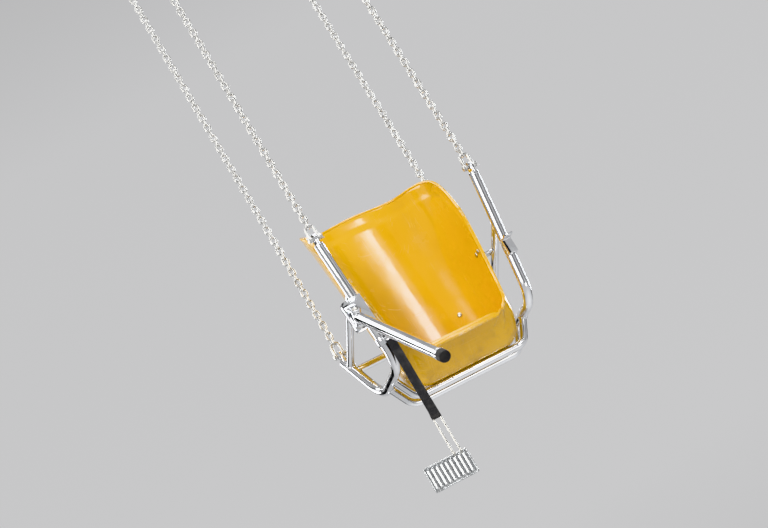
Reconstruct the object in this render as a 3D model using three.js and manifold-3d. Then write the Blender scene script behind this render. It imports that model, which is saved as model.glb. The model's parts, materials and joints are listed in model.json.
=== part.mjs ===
// One chair of a chair swing ride, on its four chains, below the hanger that bolts to the ride's arm.
// Millimetres, +Z up. The rider faces -Y and +X is the side that swings outward.
// The origin is the middle of the mounting flange's top face, and everything hangs below it.

import * as THREE from "three";
import { mergeVertices } from "three/addons/utils/BufferGeometryUtils.js";
import Module from "manifold-3d";

const wasm = await Module();
wasm.setup();

// Driving dimensions: the whole chair
const CHAIN_SPAN_X = 560; // between the left and the right chains
const CHAIN_SPAN_Y = 400; // between the front and the rear chains
const SEAT_BASE_Z = -2800; // underside of the seat shell
const FRONT_EYE_RISE = 532; // front chain eyes above the underside of the shell
const REAR_EYE_RISE = 272; // rear chain eyes above the underside of the shell
const CHAIR_SETBACK = 12; // brings the chair's centre of mass under the pivots
const GAP = 0.3; // between pieces that touch

// Driving dimensions: the hanger
const FLANGE = { x: 220, y: 190, thick: 16, hole: 9, inset: 24 }; // hole is a radius
const ROLL_AXIS_Z = -82;
const PITCH_AXIS_Z = -132;
const ROLL_PIN_RADIUS = 14;
const PITCH_PIN_RADIUS = 13;
const PIN_RUNNING_GAP = 0.5;
const ROLL_PIN_HEAD = { radius: 20, thick: 8 };
const PITCH_PIN_HEAD = { radius: 19, thick: 8 };
const CHEEK = { width: 84, flare: 12, thick: 14, inner: 44, below: 30 };
const BLOCK = { x: 56, y: 76, top: 26, bottom: 26, waistY: 26, waistTop: 20 };
const YOKE = { thick: 12, inner: 34, width: 52, plateZ: -190, plateThick: 12, plateY: 90, plateMargin: 14 };
const BEAM = { size: 40, overhang: 28 };

// Driving dimensions: chains and shackles
const CHAIN_WIDTH = 25;
const CHAIN_ARM = 6;
const LUG = { thick: 10, width: 34, drop: 32, hole: 7 };
const SHACKLE = { rod: 5, pin: 5.5, halfWidth: 14, length: 46, pinOver: 8 };

// Driving dimensions: the seat frame
const POST_RADIUS = 16;
const BOTTOM_RAIL_X = 240; // the posts flare out from the bottom rails to the chains
const BOTTOM_RAIL_RISE = 72; // middle of the side frames' bottom rails
const FRONT_BEND = 70;
const REAR_BEND = 90;
const FRONT_CORNER_Y = -150; // where the lines of the bottom rail and the front post meet
const REAR_CORNER_Y = 130; // where the lines of the bottom rail and the rear post meet
const EYE_SHANK = 34; // how far an eye plate reaches down into its post
const POST_END_BELOW_EYE = 24;
const ARM_RAIL = { radius: 13, frontRise: 342, rearBelowEye: 52 };
const CROSS_TUBE_RADIUS = 12.5;
const CRADLE = { frontY: -20, rearY: 56, flatHalfX: 196, bend: 45 }; // the two cross tubes under the shell

// Driving dimensions: the seat shell
const SHELL = {
  thick: 6,
  floorHalfX: 200,
  frontY: -158,
  rearY: 122,
  frontSquareness: 3.4,
  rearSquareness: 2.5,
  floorRadius: 66,
  wallBend: 86,
  backLean: 0.11,
  leanFromY: -40,
  backTop: 702, // the rim's height in the middle of the back, at the back's corners and at the wings' front
  cornerTop: 680,
  wingTop: 480,
  cornerY: 84,
  wingFrom: 57, // degrees round the outline, where the wing's front edge starts to rise
  wingTo: 76,
  lipCornerFrom: 38, // degrees round the outline, where the front lip turns into the wing
  lipCornerTo: 62,
  lipRise: 88,
  lipFromY: -30,
  lipToY: -150,
  lipFade: 170, // height up to which the lip lifts the foot of the wings
  lipBend: 80,
  lipRadius: 16,
  lipDrop: 8,
  columns: 96,
  floorShares: [0, 0.35, 0.65, 0.85, 1],
  bendSteps: 4,
  wallSteps: 6,
};
const SHELL_CLEARANCE_DEPTH = 36; // reaches from the outer face in past the inner face
const BACK_RAIL_RISE = 200;
const WING_BRACKET = { y: -40, width: 44, thick: 8 };
const BACK_BUFFER = { x: 120, radius: 18, startY: 136 };

// Driving dimensions: the lap bar, its hinge and catch, and the latch strap
const HINGE_LEAN = THREE.MathUtils.degToRad(35);
const HINGE = {
  sleeve: 15, sleeveOver: 3, pin: 7, pinHead: 11, pinHeadThick: 5, ear: 6, earGap: 0.6, earRadius: 17,
  shank: 62, strip: 5, stripBelow: 30, stripAbove: 74,
};
const LAP_BAR = { radius: 17, length: 596, cap: 14, capRadius: 18, outboard: 40, forward: 52, rise: 244 };
const CATCH = { half: 15, clear: 6, below: 24, lid: 6, lidForward: 12 };
const STRAP = {
  top: 146, clamp: 26, clampWall: 4, aside: 16, standOff: 7, tabThick: 2, width: 30, thick: 3, length: 268,
  hook: 120, hookBend: 5, wire: 3, plateX: 150, plateZ: 84, plateThick: 5, plateAside: 55,
};

const MATERIALS = {
  shell: new THREE.MeshStandardMaterial({ color: 0xf2b305, roughness: 0.22, metalness: 0 }),
  chrome: new THREE.MeshStandardMaterial({ color: 0xd9dbde, roughness: 0.12, metalness: 1 }),
  zinc: new THREE.MeshStandardMaterial({ color: 0x9c9d9b, roughness: 0.42, metalness: 0.95 }),
  paint: new THREE.MeshStandardMaterial({ color: 0x4a4e52, roughness: 0.5, metalness: 0.1 }),
  pin: new THREE.MeshStandardMaterial({ color: 0xb7b8b6, roughness: 0.3, metalness: 1 }),
  webbing: new THREE.MeshStandardMaterial({ color: 0x151517, roughness: 0.85, metalness: 0 }),
  plate: new THREE.MeshStandardMaterial({ color: 0x7f8487, roughness: 0.4, metalness: 0.9 }),
  rubber: new THREE.MeshStandardMaterial({ color: 0x1b1b1c, roughness: 0.75, metalness: 0 }),
};

const part = new THREE.Group();

function add(name, geometry, material, parent = part) {
  const mesh = new THREE.Mesh(geometry, MATERIALS[material]);
  mesh.name = name;
  parent.add(mesh);
  return mesh;
}

// Solids and their joins and cuts

function toManifold(geometry) {
  const bare = geometry.clone();
  bare.deleteAttribute("normal");
  bare.deleteAttribute("uv");
  const merged = mergeVertices(bare, 1e-4);
  return new wasm.Manifold(new wasm.Mesh({
    numProp: 3,
    vertProperties: new Float32Array(merged.attributes.position.array),
    triVerts: new Uint32Array(merged.index.array),
  }));
}

function fromManifold(solid) {
  const mesh = solid.getMesh();
  const geometry = new THREE.BufferGeometry();
  geometry.setAttribute("position", new THREE.BufferAttribute(new Float32Array(mesh.vertProperties), 3));
  geometry.setIndex(new THREE.BufferAttribute(new Uint32Array(mesh.triVerts), 1));
  return geometry;
}

function join(...geometries) {
  const solids = geometries.map(toManifold);
  return fromManifold(solids.reduce((sum, next) => sum.add(next)));
}

function cut(geometry, ...tools) {
  return fromManifold(tools.map(toManifold).reduce((rest, tool) => rest.subtract(tool), toManifold(geometry)));
}

function box(low, high) {
  const size = new THREE.Vector3().subVectors(high, low);
  const middle = new THREE.Vector3().addVectors(high, low).multiplyScalar(0.5);
  return new THREE.BoxGeometry(size.x, size.y, size.z).translate(middle.x, middle.y, middle.z);
}

function v(x, y, z) {
  return new THREE.Vector3(x, y, z);
}

// A rod from point to point, with a flat-sided round section
function rod(from, to, radius, sides = 16) {
  const along = new THREE.Vector3().subVectors(to, from);
  const geometry = new THREE.CylinderGeometry(radius, radius, along.length(), sides);
  const turn = new THREE.Quaternion().setFromUnitVectors(v(0, 1, 0), along.clone().normalize());
  const middle = new THREE.Vector3().addVectors(from, to).multiplyScalar(0.5);
  return geometry.applyQuaternion(turn).translate(middle.x, middle.y, middle.z);
}

// The middle line of a bent tube: straight runs with an arc at each corner
function bentLine(corners, radii, stepDegrees = 15) {
  const points = [corners[0]];
  for (let i = 1; i < corners.length - 1; i += 1) {
    const back = new THREE.Vector3().subVectors(corners[i - 1], corners[i]).normalize();
    const ahead = new THREE.Vector3().subVectors(corners[i + 1], corners[i]).normalize();
    const turn = Math.PI - back.angleTo(ahead);
    const reach = radii[i - 1] * Math.tan(turn / 2);
    const inward = new THREE.Vector3().addVectors(back, ahead).normalize();
    const centre = corners[i].clone().addScaledVector(inward, radii[i - 1] / Math.cos(turn / 2));
    const start = corners[i].clone().addScaledVector(back, reach).sub(centre);
    const axis = new THREE.Vector3().crossVectors(ahead, back).normalize();
    const steps = Math.max(2, Math.round(THREE.MathUtils.radToDeg(turn) / stepDegrees));
    for (let k = 0; k <= steps; k += 1) {
      points.push(start.clone().applyAxisAngle(axis, (turn * k) / steps).add(centre));
    }
  }
  points.push(corners[corners.length - 1]);
  return points;
}

// A curve that gives back exactly the points of a bent line
class LineOfPoints extends THREE.Curve {
  constructor(points) {
    super();
    this.points = points;
  }

  getPoint(t, target = new THREE.Vector3()) {
    const place = t * (this.points.length - 1);
    const i = Math.min(Math.floor(place), this.points.length - 2);
    return target.lerpVectors(this.points[i], this.points[i + 1], place - i);
  }

  getSpacedPoints() {
    return this.points;
  }

  getTangentAt(u, target = new THREE.Vector3()) {
    const i = Math.round(u * (this.points.length - 1));
    const before = this.points[Math.max(i - 1, 0)];
    const after = this.points[Math.min(i + 1, this.points.length - 1)];
    const here = this.points[i];
    const arriving = new THREE.Vector3().subVectors(here, before).normalize();
    const leaving = new THREE.Vector3().subVectors(after, here).normalize();
    return target.addVectors(arriving, leaving).normalize();
  }
}

function tube(points, radius, sides = 14) {
  const ring = [];
  for (let i = 0; i < sides; i += 1) {
    const angle = (2 * Math.PI * i) / sides;
    ring.push(new THREE.Vector2(radius * Math.cos(angle), radius * Math.sin(angle)));
  }
  return new THREE.ExtrudeGeometry(new THREE.Shape(ring), {
    steps: points.length - 1,
    extrudePath: new LineOfPoints(points),
    bevelEnabled: false,
  });
}

// A flat plate drawn in the plane across one axis, with a round end and a hole
function lugPlate(width, length, thick, holeRadius, holeFromEnd) {
  const outline = new THREE.Shape();
  outline.moveTo(-width / 2, 0);
  outline.lineTo(-width / 2, -length + width / 2);
  outline.absarc(0, -length + width / 2, width / 2, Math.PI, 2 * Math.PI, false);
  outline.lineTo(width / 2, 0);
  outline.closePath();
  const hole = new THREE.Path();
  hole.absarc(0, -length + holeFromEnd, holeRadius, 0, 2 * Math.PI, true);
  outline.holes.push(hole);
  const geometry = new THREE.ExtrudeGeometry(outline, { depth: thick, bevelEnabled: false, curveSegments: 8 });
  return geometry.translate(0, 0, -thick / 2);
}

// Corners of the four chains

const SIDES = [{ side: "left", sx: -1 }, { side: "right", sx: 1 }];
const ENDS = [
  { end: "front", sy: -1, eye: FRONT_EYE_RISE },
  { end: "rear", sy: 1, eye: REAR_EYE_RISE },
];
const CORNERS = SIDES.flatMap(({ side, sx }) => ENDS.map(({ end, sy, eye }) => ({
  name: `${end}_${side}`,
  x: (sx * CHAIN_SPAN_X) / 2,
  y: (sy * CHAIN_SPAN_Y) / 2 + CHAIR_SETBACK,
  eyeZ: SEAT_BASE_Z + eye,
})));

// The hanger's fixed half: flange, two cheeks and the roll pin

function mountingFlange() {
  const plate = box(v(-FLANGE.x / 2, -FLANGE.y / 2, -FLANGE.thick), v(FLANGE.x / 2, FLANGE.y / 2, 0));
  const holes = [];
  for (const sx of [-1, 1]) {
    for (const sy of [-1, 1]) {
      const x = sx * (FLANGE.x / 2 - FLANGE.inset);
      const y = sy * (FLANGE.y / 2 - FLANGE.inset);
      holes.push(rod(v(x, y, -FLANGE.thick - 1), v(x, y, 1), FLANGE.hole, 16));
    }
  }
  return cut(plate, ...holes);
}

function hangerCheek(sy) {
  const outline = new THREE.Shape();
  const half = CHEEK.width / 2;
  outline.moveTo(-half - CHEEK.flare, -FLANGE.thick - GAP);
  outline.lineTo(-half, ROLL_AXIS_Z);
  outline.absarc(0, ROLL_AXIS_Z, CHEEK.below, Math.PI, 2 * Math.PI, false);
  outline.lineTo(half, ROLL_AXIS_Z);
  outline.lineTo(half + CHEEK.flare, -FLANGE.thick - GAP);
  outline.closePath();
  const plate = new THREE.ExtrudeGeometry(outline, { depth: CHEEK.thick, bevelEnabled: false, curveSegments: 10 });
  plate.rotateX(Math.PI / 2);
  plate.translate(0, sy * (CHEEK.inner + CHEEK.thick / 2) + CHEEK.thick / 2, 0);
  const bore = rod(v(0, -200, ROLL_AXIS_Z), v(0, 200, ROLL_AXIS_Z), ROLL_PIN_RADIUS + GAP, 20);
  return cut(plate, bore);
}

function headedPin(axis, middle, radius, halfLength, head) {
  const at = (distance) => middle.clone().addScaledVector(axis, distance);
  const headOuter = halfLength + head.thick;
  return join(
    rod(at(-halfLength - 1), at(halfLength + 1), radius, 20),
    rod(at(-headOuter), at(-halfLength), head.radius, 20),
    rod(at(halfLength), at(headOuter), head.radius, 20),
  );
}

add("mounting_flange", mountingFlange(), "paint");
add("hanger_cheek_front", hangerCheek(-1), "paint");
add("hanger_cheek_rear", hangerCheek(1), "paint");
const rollPinHalf = CHEEK.inner + CHEEK.thick + GAP;
add("roll_pin", headedPin(v(0, 1, 0), v(0, 0, ROLL_AXIS_Z), ROLL_PIN_RADIUS, rollPinHalf, ROLL_PIN_HEAD), "pin");

// The swivel block between the two pins

function swivelBlock() {
  const bottomZ = PITCH_AXIS_Z - BLOCK.bottom;
  const body = box(v(-BLOCK.x / 2, -BLOCK.y / 2, bottomZ), v(BLOCK.x / 2, BLOCK.y / 2, ROLL_AXIS_Z + BLOCK.top));
  const rollBore = rod(v(0, -BLOCK.y, ROLL_AXIS_Z), v(0, BLOCK.y, ROLL_AXIS_Z), ROLL_PIN_RADIUS + PIN_RUNNING_GAP, 20);
  const pitchBore = rod(v(-BLOCK.x, 0, PITCH_AXIS_Z), v(BLOCK.x, 0, PITCH_AXIS_Z), PITCH_PIN_RADIUS + GAP, 20);
  const notchTop = PITCH_AXIS_Z + BLOCK.waistTop;
  const rearNotch = box(v(-BLOCK.x, BLOCK.waistY, bottomZ - 1), v(BLOCK.x, BLOCK.y, notchTop));
  const frontNotch = box(v(-BLOCK.x, -BLOCK.y, bottomZ - 1), v(BLOCK.x, -BLOCK.waistY, notchTop));
  return cut(body, rollBore, pitchBore, rearNotch, frontNotch);
}

add("swivel_block", swivelBlock(), "pin");
const pitchPinHalf = YOKE.inner + YOKE.thick + 1;
add("pitch_pin", headedPin(v(1, 0, 0), v(0, 0, PITCH_AXIS_Z), PITCH_PIN_RADIUS, pitchPinHalf, PITCH_PIN_HEAD), "pin");

// The yoke and the spreader that carry the chains

function yokeCheek(sx) {
  const outline = new THREE.Shape();
  const half = YOKE.width / 2;
  outline.moveTo(-half, YOKE.plateZ + GAP);
  outline.lineTo(half, YOKE.plateZ + GAP);
  outline.lineTo(half, PITCH_AXIS_Z);
  outline.absarc(0, PITCH_AXIS_Z, half, 0, Math.PI, false);
  outline.closePath();
  const plate = new THREE.ExtrudeGeometry(outline, { depth: YOKE.thick, bevelEnabled: false, curveSegments: 10 });
  plate.rotateX(Math.PI / 2);
  plate.rotateZ(Math.PI / 2);
  plate.translate(sx * (YOKE.inner + YOKE.thick / 2) - YOKE.thick / 2, 0, 0);
  const bore = rod(v(-200, 0, PITCH_AXIS_Z), v(200, 0, PITCH_AXIS_Z), PITCH_PIN_RADIUS + PIN_RUNNING_GAP, 20);
  return cut(plate, bore);
}

const plateBottomZ = YOKE.plateZ - YOKE.plateThick;
const beamTopZ = plateBottomZ - GAP;
const beamMiddleZ = beamTopZ - BEAM.size / 2;
const beamBottomZ = beamTopZ - BEAM.size;
const beamX = CHAIN_SPAN_X / 2;

for (const { side, sx } of SIDES) {
  add(`yoke_cheek_${side}`, yokeCheek(sx), "paint");
}
const yokePlateHalfX = YOKE.inner + YOKE.thick + YOKE.plateMargin;
add("yoke_plate", box(
  v(-yokePlateHalfX, -YOKE.plateY / 2, plateBottomZ),
  v(yokePlateHalfX, YOKE.plateY / 2, YOKE.plateZ),
), "paint");

const crossHalf = beamX - BEAM.size / 2 - GAP;
add("spreader_cross_beam", box(
  v(-crossHalf, -BEAM.size / 2, beamBottomZ),
  v(crossHalf, BEAM.size / 2, beamTopZ),
), "paint");

// A side beam of the spreader, with a welded lug under each end for a chain's shackle
for (const { side, sx } of SIDES) {
  const beam = box(
    v(sx * beamX - BEAM.size / 2, CHAIR_SETBACK - CHAIN_SPAN_Y / 2 - BEAM.overhang, beamBottomZ),
    v(sx * beamX + BEAM.size / 2, CHAIR_SETBACK + CHAIN_SPAN_Y / 2 + BEAM.overhang, beamTopZ),
  );
  const lugs = ENDS.map(({ sy }) => {
    const lug = lugPlate(LUG.width, LUG.drop + 1, LUG.thick, LUG.hole, LUG.width / 2);
    return lug.rotateX(Math.PI / 2).rotateZ(Math.PI / 2)
      .translate(sx * beamX, (sy * CHAIN_SPAN_Y) / 2 + CHAIR_SETBACK, beamBottomZ + 1);
  });
  add(`spreader_beam_${side}`, join(beam, ...lugs), "paint");
}

// A bow shackle: its pin passes through the lug's hole and its bow holds the end of the chain.
// up is 1 when the bow rises from the pin and -1 when it hangs from it.
function shackle(x, y, pinZ, up) {
  const half = SHACKLE.halfWidth;
  const bowZ = pinZ + up * SHACKLE.length;
  const legs = [v(x - half, y, pinZ), v(x - half, y, bowZ), v(x + half, y, bowZ), v(x + half, y, pinZ)];
  const bow = tube(bentLine(legs, [half - 0.5, half - 0.5], 30), SHACKLE.rod, 8);
  const reach = half + SHACKLE.rod + SHACKLE.pinOver;
  return join(bow, rod(v(x - reach, y, pinZ), v(x + reach, y, pinZ), SHACKLE.pin, 10));
}

// A chain's outer form: two flat arms crossed at right angles, from its top link to its bottom link
function chainBar(x, y, topZ, bottomZ) {
  const half = CHAIN_WIDTH / 2;
  const arm = CHAIN_ARM / 2;
  const outline = new THREE.Shape([
    [half, arm], [arm, arm], [arm, half], [-arm, half], [-arm, arm], [-half, arm],
    [-half, -arm], [-arm, -arm], [-arm, -half], [arm, -half], [arm, -arm], [half, -arm],
  ].map(([px, py]) => new THREE.Vector2(px, py)));
  const bar = new THREE.ExtrudeGeometry(outline, { depth: topZ - bottomZ, bevelEnabled: false });
  return bar.translate(x, y, bottomZ);
}

const topHoleZ = beamBottomZ - LUG.drop + LUG.width / 2;
const topPinZ = topHoleZ - (LUG.hole - SHACKLE.pin) + GAP;

for (const { name, x, y, eyeZ } of CORNERS) {
  add(`top_shackle_${name}`, shackle(x, y, topPinZ, -1), "zinc");
  const eyePinZ = eyeZ + (LUG.hole - SHACKLE.pin) - GAP;
  add(`bottom_shackle_${name}`, shackle(x, y, eyePinZ, 1), "zinc");
  const topEnd = topPinZ - SHACKLE.length - SHACKLE.rod - GAP;
  const bottomEnd = eyePinZ + SHACKLE.length + SHACKLE.rod + GAP;
  add(`chain_${name}`, chainBar(x, y, topEnd, bottomEnd), "zinc");
}

// The seat frame: a bent tube on each side, with an eye at each end for the chains

const seat = new THREE.Group();
seat.position.set(0, CHAIR_SETBACK, SEAT_BASE_Z);
part.add(seat);

const FRONT_Y = -CHAIN_SPAN_Y / 2;
const REAR_Y = CHAIN_SPAN_Y / 2;

// An eye plate that stands on a post's end and turns its hole to the shackle's pin
function eyePlate(x, y, z) {
  const plate = lugPlate(LUG.width, LUG.width / 2 + EYE_SHANK, LUG.thick, LUG.hole, LUG.width / 2);
  plate.rotateX(-Math.PI / 2).rotateZ(Math.PI / 2);
  return plate.translate(x, y, z - EYE_SHANK);
}

// Top of the front post, its foot, the rear post's foot and its top
function sideCorners(sx) {
  const topX = (sx * CHAIN_SPAN_X) / 2;
  return [
    v(topX, FRONT_Y, FRONT_EYE_RISE - POST_END_BELOW_EYE),
    v(sx * BOTTOM_RAIL_X, FRONT_CORNER_Y, BOTTOM_RAIL_RISE),
    v(sx * BOTTOM_RAIL_X, REAR_CORNER_Y, BOTTOM_RAIL_RISE),
    v(topX, REAR_Y, REAR_EYE_RISE - POST_END_BELOW_EYE),
  ];
}

function sideLine(sx) {
  return bentLine(sideCorners(sx), [FRONT_BEND, REAR_BEND]);
}

// The middle of a post at a height above the underside of the shell
function frontPost(sx, z) {
  const [top, foot] = sideCorners(sx);
  return foot.lerp(top, (z - foot.z) / (top.z - foot.z));
}

function rearPost(sx, z) {
  const [, , foot, top] = sideCorners(sx);
  return foot.lerp(top, (z - foot.z) / (top.z - foot.z));
}

function sideFrame(sx) {
  const x = (sx * CHAIN_SPAN_X) / 2;
  return join(
    tube(sideLine(sx), POST_RADIUS),
    eyePlate(x, FRONT_Y, FRONT_EYE_RISE),
    eyePlate(x, REAR_Y, REAR_EYE_RISE),
  );
}

for (const { side, sx } of SIDES) {
  add(`side_frame_${side}`, sideFrame(sx), "chrome", seat);
}

// The arm rail runs from the front post back and down to the top of the rear post
function armRailEnds(sx) {
  return [frontPost(sx, ARM_RAIL.frontRise), rearPost(sx, REAR_EYE_RISE - ARM_RAIL.rearBelowEye)];
}

function railRod(sx, radius) {
  return rod(...armRailEnds(sx), radius, 14);
}

const sideClearances = [-1, 1].map((sx) => tube(sideLine(sx), POST_RADIUS + GAP));

for (const { side, sx } of SIDES) {
  add(`arm_rail_${side}`, cut(railRod(sx, ARM_RAIL.radius), ...sideClearances), "chrome", seat);
}

// Cross tubes: two that dip under the shell and a straight one behind its back
const underZ = -CROSS_TUBE_RADIUS - GAP;

function cradleTube(y) {
  const line = bentLine([
    v(-BOTTOM_RAIL_X, y, BOTTOM_RAIL_RISE),
    v(-CRADLE.flatHalfX, y, underZ),
    v(CRADLE.flatHalfX, y, underZ),
    v(BOTTOM_RAIL_X, y, BOTTOM_RAIL_RISE),
  ], [CRADLE.bend, CRADLE.bend]);
  return cut(tube(line, CROSS_TUBE_RADIUS), ...sideClearances);
}

add("cross_tube_front", cradleTube(CRADLE.frontY), "chrome", seat);
add("cross_tube_rear", cradleTube(CRADLE.rearY), "chrome", seat);
const backRail = (radius) => rod(rearPost(-1, BACK_RAIL_RISE), rearPost(1, BACK_RAIL_RISE), radius, 14);
add("back_rail", cut(backRail(CROSS_TUBE_RADIUS), ...sideClearances), "chrome", seat);

// The seat shell: a bucket with a flat floor, a rolled front lip, tall wings and a round-topped back

function smooth(low, high, value) {
  const t = THREE.MathUtils.clamp((value - low) / (high - low), 0, 1);
  return t * t * (3 - 2 * t);
}

const shellMiddleY = (SHELL.frontY + SHELL.rearY) / 2;
const shellHalfY = (SHELL.rearY - SHELL.frontY) / 2;

// The floor's outline, a rounded rectangle: angle 0 is the front, 90 the right side and 180 the back
function outlinePoint(degrees) {
  const angle = THREE.MathUtils.degToRad(degrees);
  const across = Math.sin(angle);
  const ahead = Math.cos(angle);
  const power = THREE.MathUtils.lerp(SHELL.rearSquareness, SHELL.frontSquareness, smooth(-0.5, 0.5, ahead));
  const sum = Math.abs(across / SHELL.floorHalfX) ** power + Math.abs(ahead / shellHalfY) ** power;
  const reach = sum ** (-1 / power);
  return new THREE.Vector2(reach * across, shellMiddleY - reach * ahead);
}

const wingFrontY = outlinePoint(SHELL.wingTo).y;

// Height of the rim over a point of the outline, from the wing's front corner round to the middle of the back
function rimHeight(edge) {
  const back = THREE.MathUtils.clamp((edge.y - wingFrontY) / (SHELL.cornerY - wingFrontY), 0, 1);
  const wing = THREE.MathUtils.lerp(SHELL.wingTop, SHELL.cornerTop, Math.sin((back * Math.PI) / 2));
  const middle = back * smooth(0, 1, 1 - Math.abs(edge.x) / SHELL.floorHalfX);
  return wing + middle * (SHELL.backTop - SHELL.cornerTop);
}

// One line of the shell's outer face, from the middle of the floor to the rim
function shellProfile(degrees) {
  const edge = outlinePoint(degrees);
  const along = outlinePoint(degrees + 0.05).sub(outlinePoint(degrees - 0.05)).normalize();
  const outward = new THREE.Vector2(along.y, -along.x);
  const away = Math.abs(THREE.MathUtils.euclideanModulo(degrees + 180, 360) - 180);
  const side = smooth(SHELL.lipCornerFrom, SHELL.lipCornerTo, away);
  const bend = THREE.MathUtils.degToRad(THREE.MathUtils.lerp(-SHELL.lipBend, SHELL.wallBend, side));
  const radius = THREE.MathUtils.lerp(SHELL.lipRadius, SHELL.floorRadius, side);
  const rise = smooth(SHELL.wingFrom, SHELL.wingTo, away);
  const wall = THREE.MathUtils.lerp(SHELL.lipDrop, rimHeight(edge) - radius, rise);
  const bendReach = radius * Math.sin(Math.abs(bend)) + SHELL.lipDrop * Math.cos(bend);
  const start = edge.clone().addScaledVector(outward, -bendReach);
  const middle = new THREE.Vector2(0, shellMiddleY);
  const points = [];
  const place = (flat, height) => {
    const lean = SHELL.backLean * Math.max(height, 0) * smooth(SHELL.leanFromY, SHELL.rearY, edge.y);
    const floorRise = SHELL.lipRise * smooth(-SHELL.lipFromY, -SHELL.lipToY, -flat.y);
    points.push(v(flat.x, flat.y + lean, height + floorRise * (1 - smooth(0, SHELL.lipFade, height))));
  };
  for (const share of SHELL.floorShares) {
    place(middle.clone().lerp(start, share), 0);
  }
  for (let k = 1; k <= SHELL.bendSteps; k += 1) {
    const angle = (Math.abs(bend) * k) / SHELL.bendSteps;
    const height = Math.sign(bend) * radius * (1 - Math.cos(angle));
    place(start.clone().addScaledVector(outward, radius * Math.sin(angle)), height);
  }
  const bent = start.clone().addScaledVector(outward, radius * Math.sin(Math.abs(bend)));
  const bentHeight = Math.sign(bend) * radius * (1 - Math.cos(bend));
  for (let k = 1; k <= SHELL.wallSteps; k += 1) {
    const reach = (wall * k) / SHELL.wallSteps;
    place(bent.clone().addScaledVector(outward, reach * Math.cos(bend)), bentHeight + reach * Math.sin(bend));
  }
  return points;
}

// The shell as one closed solid between two faces, each set off from the outer face by its own depth
function shellSolid(outerDepth, innerDepth) {
  const columns = SHELL.columns;
  const profiles = [];
  for (let i = 0; i < columns; i += 1) {
    profiles.push(shellProfile((360 * (i + 0.5)) / columns));
  }
  const rows = profiles[0].length;
  const normalAt = (i, k) => {
    const ahead = profiles[(i + 1) % columns][k];
    const behind = profiles[(i + columns - 1) % columns][k];
    const outer = profiles[i][Math.min(k + 1, rows - 1)];
    const inner = profiles[i][Math.max(k - 1, 0)];
    const around = new THREE.Vector3().subVectors(ahead, behind);
    const outwards = new THREE.Vector3().subVectors(outer, inner);
    return new THREE.Vector3().crossVectors(outwards, around).normalize();
  };
  const positions = [];
  const faces = [];
  const addFace = (depth, flip) => {
    const base = positions.length / 3;
    positions.push(profiles[0][0].x, profiles[0][0].y, profiles[0][0].z + depth);
    for (let k = 1; k < rows; k += 1) {
      for (let i = 0; i < columns; i += 1) {
        const point = profiles[i][k].clone().addScaledVector(normalAt(i, k), depth);
        positions.push(point.x, point.y, point.z);
      }
    }
    const at = (i, k) => (k === 0 ? base : base + 1 + (k - 1) * columns + (i % columns));
    const triangle = (a, b, c) => (flip ? faces.push(a, c, b) : faces.push(a, b, c));
    for (let i = 0; i < columns; i += 1) {
      triangle(at(i, 0), at(i + 1, 1), at(i, 1));
      for (let k = 1; k < rows - 1; k += 1) {
        triangle(at(i, k), at(i + 1, k), at(i + 1, k + 1));
        triangle(at(i, k), at(i + 1, k + 1), at(i, k + 1));
      }
    }
    return at;
  };
  const outerAt = addFace(outerDepth, false);
  const innerAt = addFace(innerDepth, true);
  for (let i = 0; i < columns; i += 1) {
    const k = rows - 1;
    faces.push(outerAt(i, k), outerAt(i + 1, k), innerAt(i + 1, k));
    faces.push(outerAt(i, k), innerAt(i + 1, k), innerAt(i, k));
  }
  const geometry = new THREE.BufferGeometry();
  geometry.setAttribute("position", new THREE.Float32BufferAttribute(positions, 3));
  geometry.setIndex(faces);
  return geometry;
}

add("seat_shell", shellSolid(0, SHELL.thick), "shell", seat);

// What stands between the frame and the shell, cut to the shell's outer face
const shellClearance = shellSolid(-GAP, SHELL_CLEARANCE_DEPTH);

for (const { side, sx } of SIDES) {
  const [front, rear] = armRailEnds(sx);
  const rail = front.lerp(rear, (WING_BRACKET.y - front.y) / (rear.y - front.y));
  const shellX = sx * SHELL.floorHalfX;
  const bracket = box(
    v(Math.min(shellX, rail.x), rail.y - WING_BRACKET.width / 2, rail.z - WING_BRACKET.thick / 2),
    v(Math.max(shellX, rail.x), rail.y + WING_BRACKET.width / 2, rail.z + WING_BRACKET.thick / 2),
  );
  const clearance = railRod(sx, ARM_RAIL.radius + GAP);
  add(`wing_bracket_${side}`, cut(bracket, clearance, shellClearance), "chrome", seat);
}

for (const { side, sx } of SIDES) {
  const x = sx * BACK_BUFFER.x;
  const from = v(x, BACK_BUFFER.startY, BACK_RAIL_RISE);
  const buffer = rod(from, v(x, rearPost(sx, BACK_RAIL_RISE).y, BACK_RAIL_RISE), BACK_BUFFER.radius, 14);
  const clearance = backRail(CROSS_TUBE_RADIUS + GAP);
  add(`back_buffer_${side}`, cut(buffer, clearance, shellClearance), "rubber", seat);
}

// The lap bar hangs open on a forward-leaning hinge pin at the left front post.
// Turned a quarter turn about that pin it lies level across the seat, in the catch on the right post.

const pinAxis = v(0, -Math.sin(HINGE_LEAN), Math.cos(HINGE_LEAN));
const openWay = v(0, -Math.cos(HINGE_LEAN), -Math.sin(HINGE_LEAN));
const hinge = frontPost(-1, LAP_BAR.rise).add(v(-LAP_BAR.outboard, -LAP_BAR.forward, 0));

function along(distance, way = pinAxis) {
  return hinge.clone().addScaledVector(way, distance);
}

const sleeveHalf = LAP_BAR.radius + HINGE.sleeveOver;
const earInner = sleeveHalf + HINGE.earGap;
const earOuter = earInner + HINGE.ear;
const sleeve = rod(along(-sleeveHalf), along(sleeveHalf), HINGE.sleeve, 16);
const barBore = rod(along(-earOuter), along(earOuter), HINGE.pin + PIN_RUNNING_GAP, 14);
const barTube = rod(hinge, along(LAP_BAR.length, openWay), LAP_BAR.radius, 16);
add("lap_bar", cut(join(sleeve, barTube), barBore), "chrome", seat);

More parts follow.
